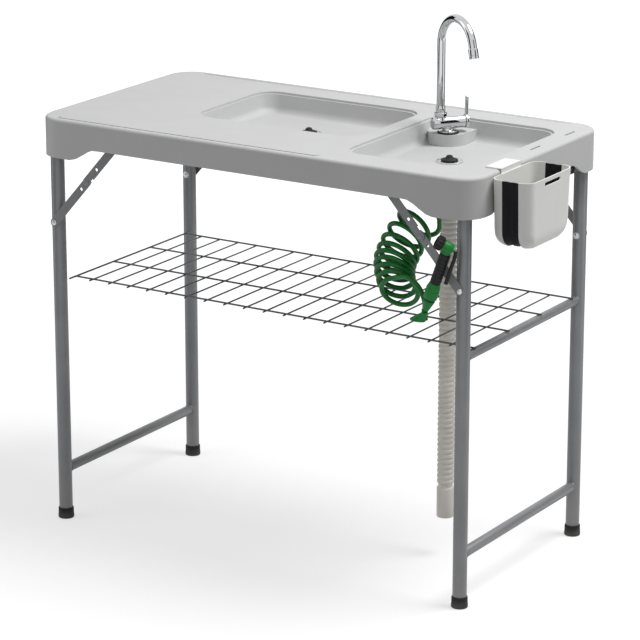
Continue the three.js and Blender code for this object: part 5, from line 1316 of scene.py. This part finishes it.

# %% [markdown]
# ## The ribbed drain hose
# The waste hose is a soft tube of even rings, with a plain collar at the top and a plain cuff at
# the foot. One ring is turned with a round crest and a narrow valley, and an array stacks it
# fifty-seven times.

# %% Drain hose
HOSE_TOP, RIBS_TOP, RIBS_BOTTOM, CUFF_TOP, HOSE_FOOT = 843.0, 817.0, 162.0, 154.0, 88.0
RIB_COUNT = 57
RIB_PITCH = (RIBS_TOP - RIBS_BOTTOM) / RIB_COUNT
rib_rings = []
for step in range(11):
    share = step / 10
    swell = abs(math.sin(math.pi * share)) ** 0.6
    rib_rings.append((15.6 + 2.9 * swell, -RIB_PITCH * share))
ribs = turned("ribs", rib_rings, 48, True)
modify(
    ribs,
    "ARRAY",
    count=RIB_COUNT,
    use_relative_offset=False,
    use_constant_offset=True,
    constant_offset_displace=(0, 0, -RIB_PITCH * MM),
    use_merge_vertices=True,
    merge_threshold=0.00002,
)
ribs.location.z = RIBS_TOP * MM
settle(ribs)
collar_rings = [
    (15.6, RIBS_TOP), (18.2, RIBS_TOP + 0.8), (18.5, RIBS_TOP + 2), (18.5, HOSE_TOP - 1)
]
collar_rings += [(18.0, HOSE_TOP), (16.6, HOSE_TOP), (16.4, HOSE_TOP - 20)]
collar = turned("hose_collar", collar_rings, 48, True)
cuff_rings = [(15.6, RIBS_BOTTOM), (15.6, CUFF_TOP + 1), (18.0, CUFF_TOP), (18.5, CUFF_TOP - 1.5)]
cuff_rings += [(18.5, HOSE_FOOT + 1), (18.1, HOSE_FOOT), (15.2, HOSE_FOOT), (14.8, HOSE_FOOT + 1)]
cuff = turned("hose_cuff", cuff_rings + [(14.6, CUFF_TOP - 2)], 48, True)
waste_hose = joined("waste_hose", [ribs, collar, cuff])
stood(waste_hose, at(*RIGHT_DRAIN, 0))
tidy_mesh(waste_hose, 0.00003)
smooth(waste_hose, 50)
dress(waste_hose, "stand_top", ["drain_hose"], RIBBED_PLASTIC)
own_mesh(waste_hose)
print("waste hose:", dressed["waste_hose"], "faces")

# %% [markdown]
# ## The hose union
# A green cup screws over the faucet's shank, and the hose comes out of its tapered foot, which
# keeps the hose from kinking.

# %% Union
union_rings = [
    (6.0, 838), (7.6, 838), (9.0, 839.5), (9.4, 845), (12.2, 848.4), (12.8, 849.5), (12.8, 857.2),
    (12.4, 858), (9.8, 858), (9.8, 847.6),
]
union = turned("union_cup", union_rings, 32)
union = ribbed(union, "union_cup", 12, 12.7, 850.2, 857, 0.55, 8, 0.3)
stood(union, at(FAUCET.x, FAUCET.y, 0))
dress(smooth(union, 40), "stand_top", ["hose_union"], GUN_GREEN)
print("union made")

# %% [markdown]
# ## The bin
# A small tub hangs on the right edge. Its back and front are white shells, and between them a
# black gusset lets the tub fold flat. All three are slices of one form: a plane with round
# corners is pulled down, drawn in towards the floor, given a wall, and then cut at the two seams
# with bisect.

# %% Bin tub
BIN_LENGTH, BIN_HEIGHT, BIN_DEPTH, BIN_RIM = 184.0, 142.0, 93.0, 902.0
BIN_LEFT, BIN_MIDDLE_Y = TOP_HALF_LENGTH + 2.8, -127.0
BIN_CORNER, BIN_WALL, SHELL_DEPTH, SEAM = 24.0, 2.5, 28.0, 0.3
LEAN_X, LEAN_Y, CURL_X, CURL_Y, CURL_HEIGHT = 2.0, 4.0, 19.0, 40.0, 36.0
GUSSET_LEFT, GUSSET_INSET = BIN_LEFT + SHELL_DEPTH + SEAM, 1.2
GUSSET_WIDTH = BIN_DEPTH - 2 * (SHELL_DEPTH + SEAM)


def tub(name, inset, wall, top):
    """The tub's closed wall of one thickness, smaller all round by an inset."""
    left, right = BIN_LEFT + inset, BIN_LEFT + BIN_DEPTH - inset
    front, rear = BIN_MIDDLE_Y - BIN_LENGTH / 2 + inset, BIN_MIDDLE_Y + BIN_LENGTH / 2 - inset
    middle = at((left + right) / 2, (front + rear) / 2, 0)
    width, length = right - left, rear - front
    piece = sheet(name, left, right, front, rear, top, BIN_CORNER - inset)
    floor = BIN_RIM - BIN_HEIGHT + inset
    drawn, height = (0.0, 0.0), top
    levels = [((0.0, 0.0), top - 3)]
    for step in range(9):
        angle = step / 8 * math.pi / 2
        curl = 1 - math.cos(angle)
        draw = (LEAN_X + CURL_X * curl, LEAN_Y + CURL_Y * curl)
        levels.append((draw, floor + CURL_HEIGHT * (1 - math.sin(angle))))
    for (draw_x, draw_y), level in levels:
        pull(level - height)
        ratio_x = (width - 2 * draw_x) / (width - 2 * drawn[0])
        ratio_y = (length - 2 * draw_y) / (length - 2 * drawn[1])
        resize_about(middle, ratio_x, ratio_y)
        drawn, height = (draw_x, draw_y), level
    leave_edit()
    tidy_mesh(piece)
    edit(piece)
    pick_faces(piece, lambda centre, normal: normal.z > 0.9 and centre.z > (top - 1) * MM)
    bpy.ops.mesh.delete(type="FACE")
    leave_edit()
    modify(piece, "SOLIDIFY", thickness=wall * MM, offset=-1.0, use_rim=True)
    return tidy_mesh(piece)


def sliced(piece, from_x, to_x):
    """Keeps what lies between two planes across X, and closes both cuts."""
    edit(piece)
    for x, keep_low in ((from_x, False), (to_x, True)):
        pick_all()
        bpy.ops.mesh.bisect(
            plane_co=at(x, 0, 0),
            plane_no=(1, 0, 0),
            use_fill=True,
            clear_outer=keep_low,
            clear_inner=not keep_low,
        )
    leave_edit()
    return tidy_mesh(piece)


BIN_FRONT = BIN_LEFT + BIN_DEPTH
back_tub = tub("bin_back_wall", 0, BIN_WALL, BIN_RIM)
back_shell = sliced(back_tub, BIN_LEFT - 1, BIN_LEFT + SHELL_DEPTH)
dress(soften(back_shell, 0.5, 2, 38), "hung_bin", ["bin_back_shell"], BIN_PLASTIC)
front_tub = tub("bin_front_wall", 0, BIN_WALL, BIN_RIM)
front_shell = sliced(front_tub, BIN_FRONT - SHELL_DEPTH, BIN_FRONT + 1)
grip_sides = (BIN_FRONT - 12, BIN_FRONT + 6, BIN_MIDDLE_Y - 33, BIN_MIDDLE_Y + 33)
grip = plate("grip", *grip_sides, 886, 894)
edit(grip)
pick_edges(grip, lambda a, b: abs(a.x - b.x) > 0.01)
bpy.ops.mesh.bevel(offset=3.9 * MM, segments=6, affect="EDGES")
leave_edit()
carve(front_shell, grip)
dress(soften(front_shell, 0.5, 2, 38), "bin_front", ["bin_front_shell"], BIN_PLASTIC)
print("bin shells:", dressed["bin_back_wall"], "and", dressed["bin_front_wall"], "faces")

# %% [markdown]
# The gusset is the same tub, a little smaller, with two soft folds pressed into it.

# %% Bin gusset
gusset_tub = tub("bin_gusset_fold", GUSSET_INSET, 1.3, BIN_RIM - GUSSET_INSET)
gusset = sliced(gusset_tub, GUSSET_LEFT, GUSSET_LEFT + GUSSET_WIDTH)
edit(gusset)
for share in (0.14, 0.28, 0.42, 0.58, 0.72, 0.86):
    pick_all()
    bpy.ops.mesh.bisect(plane_co=at(GUSSET_LEFT + GUSSET_WIDTH * share, 0, 0), plane_no=(1, 0, 0))
leave_edit()
gusset_middle = at(BIN_LEFT + BIN_DEPTH / 2, BIN_MIDDLE_Y, BIN_RIM - 60)
for vertex in gusset.data.vertices:
    share = (vertex.co.x - at(GUSSET_LEFT, 0, 0).x) / (GUSSET_WIDTH * MM)
    depth = 2.6 * MM * max(0.0, 0.5 - 0.5 * math.cos(4 * math.pi * share))
    away = Vector((0, vertex.co.y - gusset_middle.y, min(0.0, vertex.co.z - gusset_middle.z)))
    if away.length > 0.01:
        vertex.co = vertex.co - away.normalized() * depth
smooth(gusset, 60)
dress(gusset, "hung_bin", ["bin_gusset"], BIN_GUSSET)
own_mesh(gusset)

# %% [markdown]
# The hook is a thin white plate over the worktop's edge. Its tongue drops into a slot of the top.

# %% Bin hook
HOOK_FRONT, HOOK_REAR, HOOK_INNER, HOOK_OUTER = -169.0, -88.0, 535.3, 537.5
HOOK_END, HOOK_FOOT, HOOK_UNDER, HOOK_TOP = 501, 868, 910.3, 912.5
strap = plate("strap", HOOK_INNER, HOOK_OUTER, HOOK_FRONT, HOOK_REAR, HOOK_FOOT, HOOK_TOP)
shelf = plate("shelf", HOOK_END, HOOK_OUTER, HOOK_FRONT, HOOK_REAR, HOOK_UNDER, HOOK_TOP)
tongue = plate("tongue", 504.6, 507.4, -138, -104, 901, 911)
hook = carve(strap, shelf, "UNION")
carve(hook, tongue, "UNION")
hook.name = "bin_hook_plate"
dress(soften(hook, 0.6, 3, 30), "hung_bin", ["bin_hook"], BIN_PLASTIC)
print("bin hook made")

# %% [markdown]
# ## The spray gun
# The gun hangs from its hose with its ribbed dial up. Along one slanted line sit the head, the
# black grip, a green connector, a seal ring and the tail that takes the hose. All are turned
# along that line. The dial's ribs are thin bars set in a ring. The trigger is a bent bar with an
# even thickness.

# %% Gun
GRIP_TOP, GUN_TAIL = Vector((479.5, -286.5, 757)), Vector((433, -286.5, 628))
GUN_DOWN = (GUN_TAIL - GRIP_TOP).normalized()
NOZZLE = Vector((-0.6, -0.4, 0.42)).normalized()
GUN_HEAD = GRIP_TOP - GUN_DOWN * 14
GUN_ACROSS = -Vector((0, 1, 0)).cross(GUN_DOWN).normalized()
CONNECTOR_START, SEAL_START, TAIL_START = 68, 103, 107


def on_gun(distance, beside=0.0):
    """A place along the gun's line, below the top of its grip."""
    return at(*(GRIP_TOP + GUN_DOWN * distance + GUN_ACROSS * beside))


def along_gun(name, rings, distance, sides=36):
    return smooth(stood(turned(name, rings, sides), on_gun(distance), GUN_DOWN), 40)


head_rings = [(8.5, 0), (10.6, 0.8), (11.5, 2.6), (11.5, 21.4), (11.1, 22)]
head = stood(turned("head", head_rings, 36), at(*(GUN_HEAD - NOZZLE * 11)), NOZZLE)
shoulder_rings = [(8.6, 0), (10.2, 4), (10.3, 13.4)]
shoulder = stood(turned("shoulder", shoulder_rings, 36), at(*GUN_HEAD), GUN_DOWN)
lug = rounded_bar("lug", at(*GUN_HEAD), on_gun(-14, 15.6), 2.4, 16, 0.6)
head = smooth(joined("gun_head_shell", [head, shoulder, lug]), 40)
dress(head, "stand_top", ["gun_head"], GUN_GREEN)

dial_rings = [
    (12.6, 0), (13.2, 0.6), (13.4, 1.4), (13.4, 13.6), (13.0, 14.6), (12.0, 15), (10.4, 15),
    (10, 14.6), (10, 13.2), (3, 13),
]
dial = turned("dial", dial_rings, 56)
dial = ribbed(dial, "gun_dial_knob", 14, 13.35, 1.2, 13.8, 1.6, 12, 0.8)
dial = ribbed(dial, "gun_dial_knob", 9, 6.4, 12.8, 13.6, 0.8, 10, 0.2)
stood(dial, at(*(GUN_HEAD + NOZZLE * 11.3)), NOZZLE)
dress(smooth(dial, 40), "spray_dial", ["gun_dial"], GUN_BLACK)
print("gun head and dial made")

# %% Gun grip, connector, tail and trigger
grip_rings = [(9.6, 0), (10.8, 1.2)]
for number in range(8):
    z = 5 + number * 7.6
    grip_rings += [
        (11.2, z), (11.3, z + 1.2), (11.3, z + 4.6), (11.1, z + 5.4), (10.4, z + 6.2),
        (10.4, z + 6.8),
    ]
grip_rings += [(11.2, 66.4), (10.6, 67.7)]
grip = along_gun("gun_grip_sleeve", grip_rings, 0)
dress(grip, "stand_top", ["gun_grip"], GUN_BLACK)
connector_rings = [
    (11.0, 0), (11.6, 1.2), (14.0, 9.8), (14.3, 11.3), (14.3, 14), (13.6, 14.6), (13.6, 15.6),
    (14.3, 16.2), (14.3, 33.4), (13.7, 34.7),
]
connector = along_gun("gun_connector_sleeve", connector_rings, CONNECTOR_START)
sleeve_stand = (on_gun(CONNECTOR_START), GUN_DOWN)
connector = ribbed(connector, "gun_connector_sleeve", 10, 13.9, 17.5, 32, 0.8, 8, 0.4, sleeve_stand)
dress(smooth(connector, 40), "stand_top", ["gun_connector"], GUN_GREEN)
seal_rings = [(11.8, 0), (12.5, 0.5), (12.6, 1.2), (12.6, 2.6), (12.4, 3.2), (11.6, 3.7)]
seal = along_gun("gun_seal", seal_rings, SEAL_START)
dress(seal, "stand_top", ["gun_seal_ring"], BLACK_RUBBER)

cone_rings = [(11.4, 0), (12.2, 0.8), (12.3, 2), (9.6, 12), (6.4, 23)]
cone = stood(turned("cone", cone_rings, 32), on_gun(TAIL_START), GUN_DOWN)
flare = turned("flare", [(8, 0), (9, 1), (9, 4), (8.4, 5.5), (7.2, 20)], 32)
for vertex in flare.data.vertices:
    low = 1 - min(max((vertex.co.z / MM - 5) / 15, 0), 1)
    vertex.co.x = vertex.co.x * (1 + 0.94 * low) - 16 * MM * low
    vertex.co.y = vertex.co.y * (0.78 + 0.22 * low)
flare.location = at(GUN_TAIL.x, GUN_TAIL.y, GUN_TAIL.z - 20)
settle(flare)
socket_rings = [(5.6, 608), (6.6, 609), (6.6, 630.2), (6.2, 631.5), (5.4, 631.7)]
socket = stood(turned("socket", socket_rings, 32), at(HOSE_END.x, HOSE_END.y, 0))
bridge_tips = (at(HOSE_END.x, HOSE_END.y, 613), at(417, GUN_TAIL.y, 613))
bridge = rounded_bar("bridge", *bridge_tips, 5, 24, 0.5)
tail = smooth(joined("gun_tail_socket", [cone, flare, socket, bridge]), 40)
dress(tail, "stand_top", ["gun_hose_tail"], GUN_GREEN)
trigger_points = [on_gun(-14, 19.4), on_gun(0, 21.5), on_gun(58 / 3, 21.5), on_gun(58, 22)]
trigger = tube("gun_trigger_bar", smooth_line(trigger_points, 2.5), 4.0, 3)
dress(trigger, "spray_trigger", ["gun_trigger"], GUN_BLACK)
print("spray gun made")

# %% [markdown]
# ## Light and floor
# The photograph is a product shot on white, whose light falls from above on the right: the top
# and the right end are bright, and the front skirt is in shade. One wide soft lamp does that, a
# weak one fills the left, and the world gives the rest. The floor is pale, and only what the
# camera sees, also by way of the chrome, is lifted to white. So the background turns white, while
# the light on the object stays plain and its shadow stays.


# %% Lamps
def lamp(name, place, target, size, power):
    data = bpy.data.lights.new(name, "AREA")
    data.shape = "DISK"
    data.size = size
    data.energy = power
    made = bpy.data.objects.new(name, data)
    bpy.context.scene.collection.objects.link(made)
    made.location = place
    made.rotation_euler = (target - place).to_track_quat("-Z", "Y").to_euler()
    return made


def seen_directly(tree):
    """1 for the camera's rays, also by way of a mirror or through glass, and 0 for the light's."""
    rays = node(tree, "ShaderNodeLightPath").outputs
    seen = {0: rays["Is Camera Ray"], 1: rays["Is Glossy Ray"]}
    mirrored = node(tree, "ShaderNodeMath", seen, operation="MAXIMUM").outputs[0]
    seen = {0: mirrored, 1: rays["Is Transmission Ray"]}
    return node(tree, "ShaderNodeMath", seen, operation="MAXIMUM").outputs[0]


middle = at(0, 0, 750)
lamp("key", middle + Vector((1.95, 0.75, 3.75)), middle, 2.2, 150)
lamp("fill", middle + Vector((-2.6, -2.4, 1.6)), middle, 3.0, 20)

world = bpy.data.worlds.new("studio")
bpy.context.scene.world = world
tree = emptied(world)
shows = seen_directly(tree)
plain = node(tree, "ShaderNodeBackground", {"Color": (1, 1, 1, 1), "Strength": 0.3})
white = node(tree, "ShaderNodeBackground", {"Color": (1, 1, 1, 1), "Strength": 1.0})
mixed = node(tree, "ShaderNodeMixShader", {"Fac": shows, 1: plain.outputs[0], 2: white.outputs[0]})
node(tree, "ShaderNodeOutputWorld", {"Surface": mixed.outputs[0]})

floor = start("plane", "studio_floor", size=40, location=(0, 0, -0.0005))
settle(floor)
floor_material = bpy.data.materials.new("studio_floor")
tree = emptied(floor_material)
shows = seen_directly(tree)
pale = node(tree, "ShaderNodeBsdfDiffuse", {"Color": (0.5, 0.5, 0.5, 1)})
floor_place = node(tree, "ShaderNodeTexCoord").outputs["Object"]
far_off = node(tree, "ShaderNodeVectorMath", {0: floor_place}, operation="LENGTH")
lift_amount = node(
    tree,
    "ShaderNodeMapRange",
    {
        "Value": far_off.outputs["Value"],
        "From Min": 0.9,
        "From Max": 3.2,
        "To Min": 0.62,
        "To Max": 0.95,
    },
)
lift = node(
    tree, "ShaderNodeEmission", {"Color": (1, 1, 1, 1), "Strength": lift_amount.outputs["Result"]}
)
lifted = node(tree, "ShaderNodeAddShader", {0: pale.outputs[0], 1: lift.outputs[0]})
mixed = node(tree, "ShaderNodeMixShader", {"Fac": shows, 1: pale.outputs[0], 2: lifted.outputs[0]})
node(tree, "ShaderNodeOutputMaterial", {"Surface": mixed.outputs[0]})
floor.data.materials.append(floor_material)
bpy.context.scene.view_settings.view_transform = "Standard"
print("lamps and floor ready")

# %% [markdown]
# Chrome shows nothing but its surroundings, and in an all-white room it looks like white plastic.
# A product photographer stands black cards beside the camera, and their reflections draw the dark
# streaks along the tube. These cards are seen in reflections only.

# %% Black cards for the chrome
card_material = bpy.data.materials.new("black_card")
tree = emptied(card_material)
card_place = node(tree, "ShaderNodeTexCoord").outputs["Object"]
card_grain = node(tree, "ShaderNodeTexNoise", {"Vector": card_place, "Scale": 3.0})
card_tone = node(
    tree,
    "ShaderNodeMapRange",
    {"Value": card_grain.outputs["Fac"], "To Min": 0.008, "To Max": 0.02},
)
card_shader = node(tree, "ShaderNodeBsdfDiffuse", {"Color": card_tone.outputs["Result"]})
node(tree, "ShaderNodeOutputMaterial", {"Surface": card_shader.outputs[0]})
toward_camera = math.atan2(camera.location.y - HOME.y, camera.location.x - HOME.x)
CARDS = ((-66, 1.7, 2.6), (44, 1.0, 2.6), (-132, 1.6, 3.0), (112, 1.8, 3.0))
for number, (degrees, width, distance) in enumerate(CARDS):
    angle = toward_camera + math.radians(degrees)
    card = start("grid", "black_card_%d" % number, x_subdivisions=2, y_subdivisions=2, size=1)
    card.scale = (width, 2.6, 1)
    card.rotation_euler = (math.pi / 2, 0, angle + math.pi / 2)
    card.location = (math.cos(angle) * distance, math.sin(angle) * distance, 1.3)
    settle(card)
    card.data.materials.append(card_material)
    card.visible_camera = False
    card.visible_diffuse = False
    card.visible_shadow = False
    card.visible_transmission = False
print("black cards: 4")

# %% Count the pieces and their faces
print("pieces:", len(dressed), "faces:", sum(dressed.values()))
